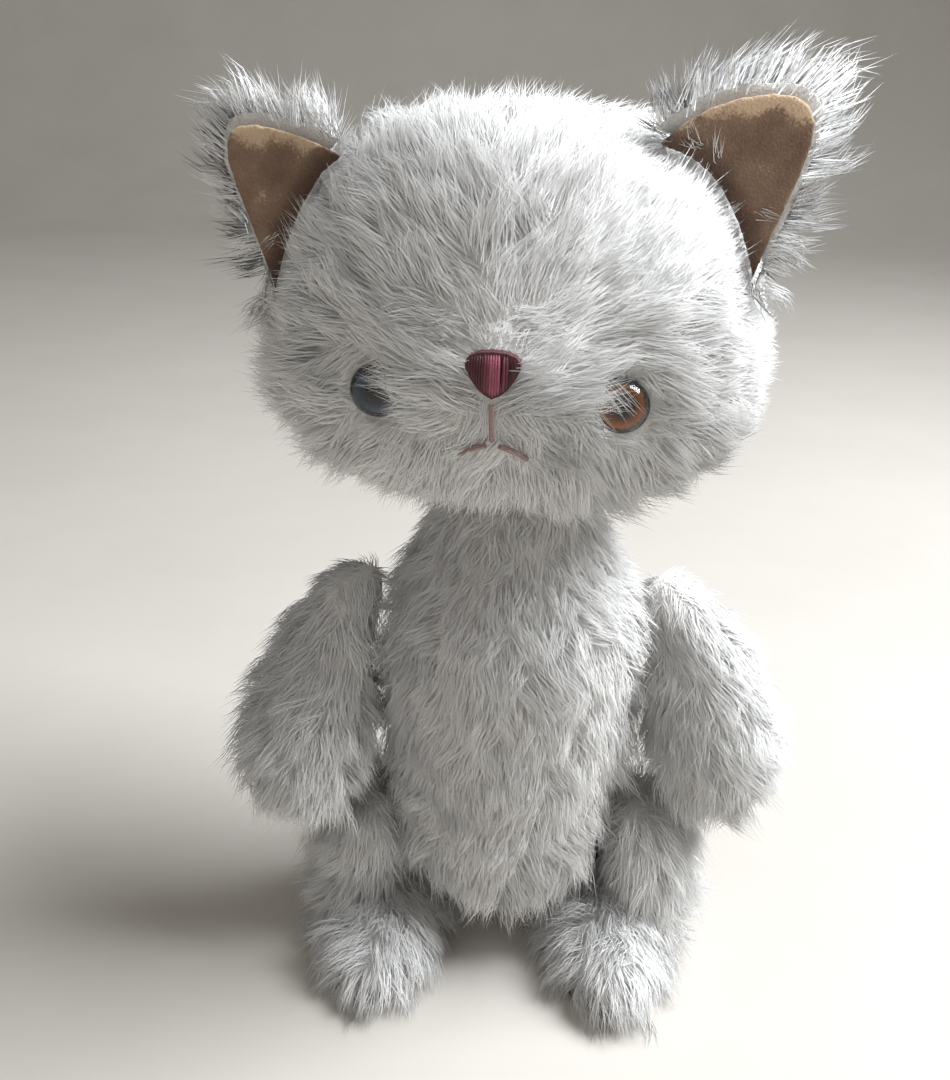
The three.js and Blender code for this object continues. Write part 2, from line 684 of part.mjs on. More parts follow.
// A sheet of the ear, cut to clear the head and curled about the line from base to tip.
function earSheet(ear, margin, thickness, behind) {
  const [low, tip, , inner] = earCorners(ear);
  const axis = [low.clone().add(inner).divideScalar(2), tip];
  const block = new THREE.ExtrudeGeometry(earOutline(ear, margin), {
    depth: thickness,
    curveSegments: EAR_CURVE_STEPS,
    bevelEnabled: false,
  });
  let sheet = solid(block);
  for (const crease of EAR_CREASES) sheet = scored(sheet, axis, crease, thickness);
  const geometry = surface(sheet);
  const points = geometry.attributes.position;
  const along = axis[1].clone().sub(axis[0]).normalize();
  for (let i = 0; i < points.count; i++) {
    const from = new THREE.Vector2(points.getX(i), points.getY(i)).sub(axis[0]);
    const off = from.cross(along);
    const lift = EAR_CURL * off * off;
    points.setXYZ(i, points.getX(i), EAR_DEPTH + behind + points.getZ(i) - lift, points.getY(i));
  }
  return solid(turnedOut(geometry).translate(HEAD_SHIFT, 0, 0)).subtract(headClear);
}

// Adds a row of points to a sheet along a line beside the ear's middle, so that it can curl.
function scored(sheet, [base, tip], offset, thickness) {
  const along = tip.clone().sub(base);
  const turn = Math.atan2(along.y, along.x);
  const place = new THREE.Matrix4()
    .makeTranslation(base.x, base.y, thickness / 2)
    .multiply(new THREE.Matrix4().makeRotationZ(turn))
    .multiply(new THREE.Matrix4().makeTranslation(0, offset + BIG, 0));
  const half = moved(solid(new THREE.BoxGeometry(BIG * 2, BIG * 2, BIG)), place);
  return sheet.intersect(half).add(sheet.subtract(half));
}

for (const [side] of SIDES) {
  const lining = earSheet(EARS[side], 0, EAR_LINING_THICKNESS, 0);
  const back = earSheet(EARS[side], EAR_PILE_EDGE, EAR_BACK_THICKNESS, EAR_LINING_THICKNESS + GAP);
  head.add(part(`${side}_ear_lining`, lining, EAR_FELT));
  head.add(part(`${side}_ear_back`, back, MOHAIR));
}

// ---------------------------------------------------------------- arms

const ARM = {
  outline: [
    [0, 0],
    [0.42, 0.02],
    [0.76, 0.09],
    [0.96, 0.2],
    [1, 0.33],
    [0.9, 0.5],
    [0.78, 0.67],
    [0.7, 0.82],
    [0.58, 0.92],
    [0.34, 0.985],
    [0, 1],
  ],
  height: ARM_LENGTH,
  halfWidth: ARM_HALF_WIDTH,
  front: ARM_HALF_DEPTH,
  back: ARM_HALF_DEPTH,
  bend: (share) => {
    const down = 1 - share;
    const bow = ARM_ROOT_SHARE + (1 - ARM_ROOT_SHARE) * Math.sin(down * ARM_CURVE);
    return [ARM_SETOFF * bow, -PAW_FORWARD * down * down];
  },
};

function armShape(mesh, inward, face) {
  const shape = stuffed(ARM, mesh, inward).translate(0, 0, ARM_ABOVE - ARM_LENGTH);
  return slab(solid(shape), 0, face, BIG);
}

// ---------------------------------------------------------------- legs

const THIGH = {
  outline: [
    [0, -0.04],
    [0.5, -0.02],
    [0.76, 0.05],
    [0.86, 0.2],
    [0.95, 0.42],
    [1, 0.62],
    [0.88, 0.82],
    [0.6, 0.95],
    [0, 1],
  ],
  height: THIGH_LENGTH,
  halfWidth: THIGH_HALF_WIDTH,
  front: THIGH_HALF_DEPTH,
  back: THIGH_HALF_DEPTH,
  bend: (share) => [THIGH_SETOFF - THIGH_LEAN * share * share, 0],
};

const FOOT = {
  outline: [
    [0, -0.3],
    [0.7, -0.18],
    [0.9, 0],
    [1, 0.25],
    [0.96, 0.5],
    [0.82, 0.74],
    [0.52, 0.93],
    [0, 1],
  ],
  height: FOOT_RISE,
  halfWidth: FOOT_HALF_WIDTH,
  front: FOOT_FRONT,
  back: FOOT_BACK,
};

// Leg and foot in one skin, trimmed flat towards the torso and flat over the sole.
function legShape(side, [segments, rings], inward, face, floor) {
  const drop = THIGH_ABOVE - THIGH_LENGTH;
  const thigh = stuffed(THIGH, [segments, rings], inward).translate(0, 0, drop);
  const foot = stuffed(FOOT, [segments + FOOT_EXTRA_SEGMENTS, rings], inward);
  const thighSolid = slab(solid(thigh), 0, face, BIG);
  const footSolid = solid(foot.translate(FOOT_OUT[side], -FOOT_FORWARD, -HIP_HEIGHT));
  return slab(thighSolid.add(footSolid), 2, floor - HIP_HEIGHT, BIG);
}

function solePad(side) {
  const outline = new THREE.Shape();
  const [across, back, front] = [FOOT_HALF_WIDTH, FOOT_BACK, FOOT_FRONT].map((size) => size * SOLE_SHARE);
  outline.absellipse(0, 0, across, back, 0, Math.PI);
  outline.absellipse(0, 0, across, front, Math.PI, 2 * Math.PI);
  const pad = new THREE.ExtrudeGeometry(outline, {
    depth: SOLE_PAD,
    curveSegments: SOLE_CURVE_STEPS,
    bevelEnabled: false,
  });
  return solid(pad.translate(FOOT_OUT[side], -FOOT_FORWARD, -HIP_HEIGHT));
}

// A limb is made in the left side's frame. The right side's frame is turned half round about Y,
// which swaps up and down, so the right limb is the mirror image across Z = 0.
function handed(manifold, sign) {
  return sign > 0 ? manifold : solid(turnedOut(surface(manifold).scale(1, 1, -1)));
}

const skinFace = GAP / 2;
const hollowFace = skinFace + WALL;
const fillFace = hollowFace + GAP;
const skinFloor = SOLE_PAD + GAP;
const insoleFloor = skinFloor + GAP;
const fillFloor = insoleFloor + INSOLE + GAP;

for (const [side, sign] of SIDES) {
  const shoulder = limbFrames.find(({ name }) => name === `${side}_shoulder`);
  const arm = new THREE.Group();
  arm.rotation.x = -sign * ARM_SWING[side];
  shoulder.frame.add(arm);
  const armPocket = pocket(SHOULDER_DISC, 1);
  const armHollow = armShape(ARM_CORE_MESH, WALL, hollowFace).add(armPocket).add(pinHole());
  const armSkin = armShape(ARM_MESH, 0, skinFace).subtract(armHollow);
  const armFill = armShape(ARM_CORE_MESH, WALL + GAP, fillFace).subtract(armPocket);
  arm.add(part(`${side}_arm_skin`, handed(armSkin, sign), MOHAIR));
  arm.add(part(`${side}_arm_stuffing`, handed(armFill, sign), STUFFING));
  addJoint(shoulder.name, SHOULDER_DISC, shoulder.frame, arm);

  const hip = limbFrames.find(({ name }) => name === `${side}_hip`);
  const leg = new THREE.Group();
  hip.frame.add(leg);
  const legPocket = pocket(HIP_DISC, 1);
  const legHollow = legShape(side, LEG_CORE_MESH, WALL, hollowFace, 0).add(legPocket).add(pinHole());
  const legSkin = legShape(side, LEG_MESH, 0, skinFace, skinFloor).subtract(legHollow);
  const legFill = legShape(side, LEG_CORE_MESH, WALL + GAP, fillFace, insoleFloor);
  const insole = slab(legFill, 2, -BIG, insoleFloor + INSOLE - HIP_HEIGHT);
  const stuffing = slab(legFill, 2, fillFloor - HIP_HEIGHT, BIG).subtract(legPocket);
  leg.add(part(`${side}_leg_skin`, handed(legSkin, sign), MOHAIR));
  leg.add(part(`${side}_leg_stuffing`, handed(stuffing, sign), STUFFING));
  leg.add(part(`${side}_insole`, handed(insole, sign), BOARD));
  leg.add(part(`${side}_sole_pad`, handed(solePad(side), sign), EAR_FELT));
  addJoint(hip.name, HIP_DISC, hip.frame, leg);
  cat.add(shoulder.frame, hip.frame);
}

const neckTorsoSide = jointFrame([0, 0, NECK_Z], -90 * DEGREE);
const neckHeadSide = jointFrame([0, 0, 0], -90 * DEGREE);
torso.add(neckTorsoSide);
head.add(neckHeadSide);
addJoint("neck", NECK_DISC, neckTorsoSide, neckHeadSide);

// ---------------------------------------------------------------- origin

cat.updateMatrixWorld(true);
const whole = new THREE.Box3().setFromObject(cat, true);
const middle = whole.getCenter(new THREE.Vector3());
cat.position.set(-middle.x, -middle.y, -whole.min.z);

export default cat;
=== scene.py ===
# Disc-jointed cat in white mohair, standing on its feet. Metres, +Z up, the face towards -Y and
# the cat's left side towards +X. The sections follow the order in which the toy is put together.
import json
import math

import bmesh
import bpy
import numpy as np
from mathutils import Matrix, Vector
from mathutils.bvhtree import BVHTree
from mathutils.kdtree import KDTree


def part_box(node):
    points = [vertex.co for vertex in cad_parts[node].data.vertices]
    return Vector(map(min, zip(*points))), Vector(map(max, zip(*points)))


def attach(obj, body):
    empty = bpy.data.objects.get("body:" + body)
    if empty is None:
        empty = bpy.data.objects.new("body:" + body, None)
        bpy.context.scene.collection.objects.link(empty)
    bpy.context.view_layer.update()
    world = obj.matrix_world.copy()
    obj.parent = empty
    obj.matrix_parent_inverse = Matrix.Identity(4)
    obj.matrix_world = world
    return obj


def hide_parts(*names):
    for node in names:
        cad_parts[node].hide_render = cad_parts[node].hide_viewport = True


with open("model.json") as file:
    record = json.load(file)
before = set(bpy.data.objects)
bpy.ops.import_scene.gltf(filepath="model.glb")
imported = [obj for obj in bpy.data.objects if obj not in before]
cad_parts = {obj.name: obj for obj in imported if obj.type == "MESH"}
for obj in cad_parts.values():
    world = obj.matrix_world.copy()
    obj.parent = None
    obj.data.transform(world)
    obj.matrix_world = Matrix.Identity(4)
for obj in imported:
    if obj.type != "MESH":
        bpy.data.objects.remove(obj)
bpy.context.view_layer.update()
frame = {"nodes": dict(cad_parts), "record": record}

nodes = frame["nodes"]


# ------------------------------------------------------------------ camera
# The viewer stands close in front of the toy, and looks down at it and a little to the cat's right.

CAMERA_PLACE = Vector((-0.0010, -0.2754, 0.250))
CAMERA_HEADING = math.radians(2.3)  # towards -X
CAMERA_PITCH = math.radians(-24)
CAMERA_ROLL = math.radians(1.6)
FRAME_SIZE = 36  # millimetres, on the taller side
FOCAL_LENGTH = 37.17

camera_data = bpy.data.cameras.new("camera")
camera_data.sensor_fit = "VERTICAL"
camera_data.sensor_height = FRAME_SIZE
camera_data.lens = FOCAL_LENGTH
camera_data.clip_start = 0.01
camera = bpy.data.objects.new("camera", camera_data)
bpy.context.scene.collection.objects.link(camera)
across = Vector((math.cos(CAMERA_HEADING), math.sin(CAMERA_HEADING), 0))
ahead = Vector((
    -math.sin(CAMERA_HEADING) * math.cos(CAMERA_PITCH),
    math.cos(CAMERA_HEADING) * math.cos(CAMERA_PITCH),
    math.sin(CAMERA_PITCH),
))
upward = across.cross(ahead)
rolled_across = across * math.cos(CAMERA_ROLL) + upward * math.sin(CAMERA_ROLL)
rolled_up = upward * math.cos(CAMERA_ROLL) - across * math.sin(CAMERA_ROLL)
turn = Matrix((rolled_across, rolled_up, -ahead)).transposed()
camera.matrix_world = Matrix.Translation(CAMERA_PLACE) @ turn.to_4x4()
bpy.context.scene.camera = camera


# ------------------------------------------------------------------ pieces inside
# Board discs, washers and split pins make the five joints; filling, a bag of pellets and card
# insoles give weight and shape. They are bought in or cut by hand, and the skins cover them.

GRAIN_DETAIL = 6
GRAIN_ROUGHNESS = 0.65
TONES = (0.32, 0.68)  # where the two tones of a finish start to blend and end
RELIEF_DEPTH = 0.0006


def finish(name, colour, other, grain, roughness, bump, stretch=(1, 1, 1), metallic=0.0):
    """A material with two tones mixed by grain, which is its scale per metre, and a fine bump."""
    material = bpy.data.materials.new(name)
    material.use_nodes = True
    tree = material.node_tree
    shader = tree.nodes["Principled BSDF"]
    place = tree.nodes.new("ShaderNodeTexCoord")
    mapping = tree.nodes.new("ShaderNodeMapping")
    mapping.inputs["Scale"].default_value = stretch
    tree.links.new(place.outputs["Object"], mapping.inputs["Vector"])
    noise = tree.nodes.new("ShaderNodeTexNoise")
    noise.inputs["Scale"].default_value = grain
    noise.inputs["Detail"].default_value = GRAIN_DETAIL
    noise.inputs["Roughness"].default_value = GRAIN_ROUGHNESS
    tree.links.new(mapping.outputs["Vector"], noise.inputs["Vector"])
    ramp = tree.nodes.new("ShaderNodeValToRGB")
    ramp.color_ramp.elements[0].position = TONES[0]
    ramp.color_ramp.elements[0].color = (*other, 1)
    ramp.color_ramp.elements[1].position = TONES[1]
    ramp.color_ramp.elements[1].color = (*colour, 1)
    tree.links.new(noise.outputs["Fac"], ramp.inputs["Fac"])
    tree.links.new(ramp.outputs["Color"], shader.inputs["Base Color"])
    relief = tree.nodes.new("ShaderNodeBump")
    relief.inputs["Strength"].default_value = bump
    relief.inputs["Distance"].default_value = RELIEF_DEPTH
    tree.links.new(noise.outputs["Fac"], relief.inputs["Height"])
    tree.links.new(relief.outputs["Normal"], shader.inputs["Normal"])
    shader.inputs["Roughness"].default_value = roughness
    shader.inputs["Metallic"].default_value = metallic
    return material


def dress(piece, *materials):
    piece.data.materials.clear()
    for material in materials:
        piece.data.materials.append(material)


inside_finishes = {
    "_disc": finish("pressed_board", (0.30, 0.19, 0.10), (0.20, 0.12, 0.06), 900, 0.85, 0.4),
    "washer": finish("washer_steel", (0.62, 0.63, 0.65), (0.45, 0.46, 0.48), 2500, 0.35, 0.1, metallic=1.0),
    "split_pin": finish("pin_steel", (0.55, 0.56, 0.58), (0.38, 0.39, 0.41), 2500, 0.4, 0.1, metallic=1.0),
    "eye_wire": finish("shank_steel", (0.5, 0.5, 0.52), (0.36, 0.36, 0.38), 2500, 0.4, 0.1, metallic=1.0),
    "stuffing": finish("fibre_filling", (0.90, 0.89, 0.86), (0.78, 0.77, 0.73), 700, 0.95, 0.8),
    "pellet_bag": finish("pellet_cloth", (0.66, 0.63, 0.55), (0.52, 0.49, 0.42), 1500, 0.9, 0.8),
    "insole": finish("insole_card", (0.52, 0.43, 0.31), (0.42, 0.34, 0.24), 1200, 0.9, 0.4),
}
for name, node in nodes.items():
    for ending, material in inside_finishes.items():
        if name.endswith(ending):
            dress(node, material)


# ------------------------------------------------------------------ cloth skins
# Mohair cloth sewn into bags and stuffed hard. The dense foot of the pile lies on the cloth, so
# each skin here is the firm surface that the long pile stands up from.

SKIN_VOXEL = 0.0018
SKIN_SOFTENING = 6
SAME_PLACE = 1e-5  # corners nearer than this are one
OFF_FACE = 2e-4  # where a look starts, above its face
LOOKS = 20  # directions in which a face looks for a way out
WAYS_OUT = 2  # a face with fewer is on the inside

golden_turn = math.pi * (3 - math.sqrt(5))
looks = []
for step in range(LOOKS):
    height = (step + 0.5) / LOOKS
    reach, heading = math.sqrt(1 - height * height), step * golden_turn
    looks.append(Vector((reach * math.cos(heading), reach * math.sin(heading), height)))

bodies = frame["record"]["behaviour"]["bodies"]
body_of = {name: body for body, names in bodies.items() for name in names}


def solids(names):
    """A tree of the surfaces of these nodes, to send rays at."""
    points, faces = [], []
    for name in names:
        mesh = nodes[name].data
        first = len(points)
        points += [vertex.co.copy() for vertex in mesh.vertices]
        faces += [[first + index for index in face.vertices] for face in mesh.polygons]
    return BVHTree.FromPolygons(points, faces)


body_solids = {body: solids(names) for body, names in bodies.items()}


def new_piece(name, shape):
    mesh = bpy.data.meshes.new(name)
    shape.to_mesh(mesh)
    shape.free()
    piece = bpy.data.objects.new(name, mesh)
    bpy.context.scene.collection.objects.link(piece)
    return piece


def finished(piece):
    """Applies the modifiers of a piece to its mesh."""
    shown = piece.evaluated_get(bpy.context.evaluated_depsgraph_get())
    mesh = bpy.data.meshes.new_from_object(shown)
    piece.modifiers.clear()
    piece.data = mesh
    return piece


def skin(node_name, piece_name, inset):
    """The outside of a skin node, closed, softened and drawn in to where the pile is rooted."""
    body = body_of[node_name]
    shape = bmesh.new()
    shape.from_mesh(nodes[node_name].data)
    bmesh.ops.remove_doubles(shape, verts=shape.verts, dist=SAME_PLACE)
    shape.normal_update()
    # The ears crowd the head from outside, so its skins are judged alone. The others are open at
    # the sole or the seat of a tail, and need the pieces that close them.
    around = solids([node_name]) if body == "head" else body_solids[body]
    inner = []
    for face in shape.faces:
        towards = face.normal.to_track_quat("Z", "Y")
        start = face.calc_center_median() + face.normal * OFF_FACE
        out = sum(around.ray_cast(start, towards @ look)[0] is None for look in looks)
        if out < WAYS_OUT:
            inner.append(face)
    bmesh.ops.delete(shape, geom=inner, context="FACES")
    bmesh.ops.holes_fill(shape, edges=shape.edges, sides=0)
    piece = new_piece(piece_name, shape)
    remesh = piece.modifiers.new("close", "REMESH")
    remesh.mode = "VOXEL"
    remesh.voxel_size = SKIN_VOXEL
    finished(piece)
    soft = bmesh.new()
    soft.from_mesh(piece.data)
    for _ in range(SKIN_SOFTENING):
        bmesh.ops.smooth_vert(soft, verts=soft.verts, factor=0.5, use_axis_x=True, use_axis_y=True,
                              use_axis_z=True)
    soft.normal_update()
    places = [vertex.co - vertex.normal * inset for vertex in soft.verts]
    for vertex, place in zip(soft.verts, places):
        vertex.co = place
    soft.to_mesh(piece.data)
    soft.free()
    for face in piece.data.polygons:
        face.use_smooth = True
    return piece


mohair_cloth = finish("mohair_cloth", (0.90, 0.88, 0.85), (0.80, 0.77, 0.73), 1400, 0.95, 1.0)

SKIN_INSET = 0.0026
skins = {}
for node_name in ("torso_skin", "head_skin", "tail_skin", "left_arm_skin", "right_arm_skin",
                  "left_leg_skin", "right_leg_skin"):
    cloth = skin(node_name, node_name.replace("_skin", "_cloth"), SKIN_INSET)
    dress(cloth, mohair_cloth)
    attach(cloth, body_of[node_name])
    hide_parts(node_name)
    skins[node_name] = cloth
EAR_INSET = 0.0014
for side in ("left", "right"):
    back = skin(f"{side}_ear_back", f"{side}_ear_cloth", EAR_INSET)
    dress(back, mohair_cloth)
    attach(back, "head")
    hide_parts(f"{side}_ear_back")
    skins[f"{side}_ear_back"] = back


# ------------------------------------------------------------------ long pile
# Mohair is goat hair woven through the cloth: fine, slightly wavy, gathered in small locks, and the
# locks in bigger curls. Each hair rises from the cloth and lies over in the way it is brushed.

SQUARE_METRE = 1e6  # in square millimetres, as the hair counts are per square millimetre
HAIRS_IN_LOCK = 12
HAIR_WIDTH = 0.00022
LOCK_RADIUS = 0.0022
HAIR_STEPS = (0.0, 0.5)  # shares of the length where a hair has a ring of three points
HAIR_TAPER = (1.0, 0.8)
SIDES = 3
FLOOR_GAP = 0.0004
CANDIDATES = 4  # places tried for each lock that is wanted
CLOSEST = 0.8  # least distance between locks, as a share of the average
ROOM_START, ROOM = 0.0030, 0.0035  # no pile grows where another body is as near as this
NEIGHBOURS = [(x, y, z) for x in (-1, 0, 1) for y in (-1, 0, 1) for z in (-1, 0, 1)]
SOFTNESS = 0.62  # how far a hair is lit as the cloth under it is, and not as a rod of its own
CURLS = 24000  # per square metre: bigger curls, each of several locks that lean together
CURL_GATHER = 0.45  # how far the tips of its locks are drawn to the middle of a curl
LOCK_SWING, CURL_SWING = 0.6, 0.9  # how far each turns off the brushed way, as shares of the spread
LONGER = 0.4  # how far the raggedness lengthens a lock, as a share of how far it shortens one
CURL_REACH = (0.85, 1.08)
LOCK_STAND, CURL_STAND = (0.8, 1.2), (0.65, 1.35)
CURL_TINT = 0.5  # the share of locks that have the tint of their curl
LOCK_GATHER = (0.10, 0.75)  # how far hairs are drawn to the middle of their lock
HAIR_REACH = (0.7, 1.1)
HAIR_STAND = 0.10
HAIR_STRAY = 0.08
WAVE_SIZE, WAVE_LENGTH = 0.05, 7
RUN_CURVE, LOCK_CURVE, CURL_CURVE = 1.35, 1.2, 1.4  # how late along a hair each takes hold
PIECE_HAIRS = 19000  # keeps a piece under 200,000 triangles

HAIR_ROUGHNESS, HAIR_GLOSS, HAIR_SHEEN = 0.45, 0.5, 0.25

hair_tints = []
# Each tint has a darker colour for the lower half of a hair, its root, than for the upper half: painted
# shade deep in the pile. Which tint a lock has is random.
for tint, root, tip in (
    ("white", (0.90, 0.89, 0.87), (0.96, 0.955, 0.94)),
    ("cream", (0.87, 0.84, 0.79), (0.94, 0.92, 0.88)),
    ("cool", (0.87, 0.88, 0.90), (0.94, 0.95, 0.96)),
    ("shade", (0.80, 0.77, 0.72), (0.90, 0.885, 0.86)),
):
    for share, colour in (("root", root), ("tip", tip)):
        material = bpy.data.materials.new(f"mohair_{tint}_{share}")
        material.use_nodes = True
        shader = material.node_tree.nodes["Principled BSDF"]
        shader.inputs["Base Color"].default_value = (*colour, 1)
        shader.inputs["Roughness"].default_value = HAIR_ROUGHNESS
        shader.inputs["Specular IOR Level"].default_value = HAIR_GLOSS
        shader.inputs["Sheen Weight"].default_value = HAIR_SHEEN
        hair_tints.append(material)
TINT_SHARES = (0.5, 0.2, 0.15, 0.15)


def unit(vectors):
    return vectors / np.maximum(np.linalg.norm(vectors, axis=-1, keepdims=True), 1e-9)


def along(directions, normals):
    """The part of each direction that lies in the surface, as a unit vector."""
    flat = directions - normals * np.sum(directions * normals, axis=-1, keepdims=True)
    return unit(flat)


def scattered(piece, amount, rng):
    """Places and outward directions over a skin, none much closer to the next than the average."""
    mesh = piece.data
    mesh.calc_loop_triangles()
    points = np.empty(len(mesh.vertices) * 3)
    mesh.vertices.foreach_get("co", points)
    points = points.reshape(-1, 3)
    outs = np.empty(len(mesh.vertices) * 3)
    mesh.vertices.foreach_get("normal", outs)
    outs = outs.reshape(-1, 3)
    corners = np.empty(len(mesh.loop_triangles) * 3, dtype=np.int32)
    mesh.loop_triangles.foreach_get("vertices", corners)
    corners = corners.reshape(-1, 3)
    a, b, c = points[corners[:, 0]], points[corners[:, 1]], points[corners[:, 2]]
    areas = np.linalg.norm(np.cross(b - a, c - a), axis=1) / 2
    count = int(areas.sum() * amount) * CANDIDATES
    picked = rng.choice(len(areas), size=count, p=areas / areas.sum())
    first, second = rng.random(count), rng.random(count)
    over = first + second > 1
    first[over], second[over] = 1 - first[over], 1 - second[over]
    shares = np.stack((1 - first - second, first, second), axis=1)
    places = np.einsum("ij,ijk->ik", shares, points[corners[picked]])
    normals = unit(np.einsum("ij,ijk->ik", shares, outs[corners[picked]]))
    apart = CLOSEST / math.sqrt(amount)
    cells = np.floor(places / apart).astype(int)
    taken, kept = {}, []
    for index, (place, cell) in enumerate(zip(places.tolist(), cells.tolist())):
        near = [other for step in NEIGHBOURS for other in taken.get(
            (cell[0] + step[0], cell[1] + step[1], cell[2] + step[2]), ())]
        if all(math.dist(place, other) > apart for other in near):
            taken.setdefault(tuple(cell), []).append(place)
            kept.append(index)
    return places[kept], normals[kept]


def pile(name, cloth, body, per_square, brush, length, lean, seed, keep=None, ragged=0.35, spread=0.35,
         follow=1.0, gather_curls=CURL_GATHER):
    """Covers a skin with hair. brush gives the way it lies, length its length and lean how far it
    stands up from the cloth in radians, each for the places of the locks. Where the brush leads
    away from the cloth, the hair stands up after it by the share follow."""
    rng = np.random.default_rng(seed)
    feet, outs = scattered(cloth, per_square / HAIRS_IN_LOCK * SQUARE_METRE, rng)
    others = [tree for other, tree in body_solids.items() if other != body]
    clear = np.ones(len(feet), dtype=bool)
    for index, (foot, out) in enumerate(zip(feet, outs)):
        start = Vector(foot + out * ROOM_START)
        if any(tree.ray_cast(start, Vector(out), ROOM)[0] is not None for tree in others):
            clear[index] = False
    if keep is not None:
        clear &= keep(feet, outs)
    feet, outs = feet[clear], outs[clear]
    curl_places, _ = scattered(cloth, CURLS, rng)
    nearest = KDTree(len(curl_places))
    for index, place in enumerate(curl_places):
        nearest.insert(Vector(place), index)
    nearest.balance()
    curl = np.array([nearest.find(Vector(foot))[1] for foot in feet])
    count = len(feet)
    led = unit(brush(feet, outs))
    way = along(led, outs)
    side = np.cross(outs, way)
    swing = rng.normal(0, spread * LOCK_SWING, count)
    swing += rng.normal(0, spread * CURL_SWING, len(curl_places))[curl]
    way = way * np.cos(swing)[:, None] + side * np.sin(swing)[:, None]
    reach = length(feet, outs) * rng.uniform(1 - ragged, 1 + ragged * LONGER, count)
    reach *= rng.uniform(*CURL_REACH, len(curl_places))[curl]
    leading = np.arcsin(np.clip(np.sum(led * outs, axis=1), 0, 1)) * follow
    stand = np.maximum(lean(feet, outs), leading) * rng.uniform(*LOCK_STAND, count)
    stand *= rng.uniform(*CURL_STAND, len(curl_places))[curl]
    drawn = curl_places[curl] - feet
    drawn -= outs * np.sum(drawn * outs, axis=1, keepdims=True)
    tint = rng.choice(len(TINT_SHARES), size=count, p=TINT_SHARES)
    curl_tint = rng.choice(len(TINT_SHARES), size=len(curl_places), p=TINT_SHARES)
    tint = np.where(rng.random(count) < CURL_TINT, curl_tint[curl], tint)

    hairs = np.repeat(np.arange(count), HAIRS_IN_LOCK)
    total = len(hairs)
    out, forward = outs[hairs], way[hairs]
    sideways = np.cross(out, forward)
    angle, far = rng.uniform(0, 2 * math.pi, total), np.sqrt(rng.random(total)) * LOCK_RADIUS
    offset = forward * (np.cos(angle) * far)[:, None] + sideways * (np.sin(angle) * far)[:, None]
    gather = rng.uniform(*LOCK_GATHER, total)[:, None]
    own_reach = reach[hairs] * rng.uniform(*HAIR_REACH, total)
    own_stand = stand[hairs] + rng.normal(0, HAIR_STAND, total)
    stray = rng.normal(0, HAIR_STRAY, (total, 3)) * own_reach[:, None]
    wave_size = rng.uniform(0.0, WAVE_SIZE, total) * own_reach
    wave_start = rng.uniform(0, 2 * math.pi, total)
    rings = []
    for share in (*HAIR_STEPS, 1.0):
        rise = np.sin(share * math.pi / 2) * np.sin(own_stand) * own_reach
        run = share ** RUN_CURVE * np.cos(own_stand) * own_reach
        sway = np.sin(share * WAVE_LENGTH + wave_start) * wave_size * share
        ring = (feet[hairs] + offset * (1 - gather * share ** LOCK_CURVE) + out * rise[:, None]
                + forward * run[:, None] + sideways * sway[:, None] + stray * share ** 2
                + drawn[hairs] * (gather_curls * share ** CURL_CURVE))
        ring[:, 2] = np.maximum(ring[:, 2], FLOOR_GAP)
        rings.append(ring)
    rings = np.stack(rings, axis=1)
    tints = tint[hairs]
    order = np.argsort(np.arctan2(feet[hairs][:, 1], feet[hairs][:, 0]), kind="stable")
    groups = np.array_split(order, max(1, math.ceil(total / PIECE_HAIRS)))
    for number, group in enumerate(groups, start=1):
        piece_name = name if len(groups) == 1 else f"{name}_{number}"
        hair_piece(piece_name, rings[group], out[group], tints[group], body)


def hair_piece(name, lines, outs, tints, body):
    """One mesh of closed three-sided tapers along lines of points."""
    total, steps = lines.shape[0], lines.shape[1] - 1
    heading = unit(lines[:, -1] - lines[:, 0])
    across_hair = unit(np.cross(heading, outs) + 1e-6)
    up_hair = np.cross(heading, across_hair)
    points = np.empty((total, steps * SIDES + 1, 3))
    for step in range(steps):
        for corner in range(SIDES):
            angle = 2 * math.pi * corner / SIDES
            arm = across_hair * math.cos(angle) + up_hair * math.sin(angle)
            points[:, step * SIDES + corner] = lines[:, step] + arm * (HAIR_WIDTH / 2 * HAIR_TAPER[step])
    points[:, -1] = lines[:, -1]
    points[:, :, 2] = np.maximum(points[:, :, 2], FLOOR_GAP / 2)
    pattern, parts = [(0, 2, 1)], [0]
    for step in range(steps - 1):
        low, high = step * SIDES, (step + 1) * SIDES
        for corner in range(SIDES):
            after = (corner + 1) % SIDES
            pattern.append((low + corner, low + after, high + after))
            pattern.append((low + corner, high + after, high + corner))
            parts += [0 if step == 0 else 1] * 2
    last = (steps - 1) * SIDES
    for corner in range(SIDES):
        pattern.append((last + corner, last + (corner + 1) % SIDES, steps * SIDES))
        parts.append(1)
    pattern, parts = np.array(pattern), np.array(parts)
    base = np.arange(total)[:, None, None] * (steps * SIDES + 1)
    faces = (pattern[None] + base).reshape(-1, 3).astype(np.int32)
    mesh = bpy.data.meshes.new(name)
    mesh.vertices.add(points.shape[0] * points.shape[1])
    mesh.vertices.foreach_set("co", points.reshape(-1).astype(np.float32))
    mesh.loops.add(faces.size)
    mesh.loops.foreach_set("vertex_index", faces.reshape(-1))
    mesh.polygons.add(len(faces))
    mesh.polygons.foreach_set("loop_start", np.arange(len(faces), dtype=np.int32) * 3)
    # The lower half of each hair takes its tint's darker root colour, as painted shade deep in the pile
    face_tints = (tints[:, None] * 2 + parts[None]).reshape(-1)
    mesh.polygons.foreach_set("material_index", face_tints.astype(np.int32))
    mesh.update(calc_edges=True)
    mesh.polygons.foreach_set("use_smooth", np.ones(len(faces), dtype=bool))
    turned = points - lines.mean(axis=1)[:, None]
    turned = unit(turned - heading[:, None] * np.sum(turned * heading[:, None], axis=-1, keepdims=True))
    shading = unit(turned * (1 - SOFTNESS) + outs[:, None] * SOFTNESS).reshape(-1, 3)
    mesh.normals_split_custom_set_from_vertices(shading)
    piece = bpy.data.objects.new(name, mesh)
    bpy.context.scene.collection.objects.link(piece)
    dress(piece, *hair_tints)
    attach(piece, body)


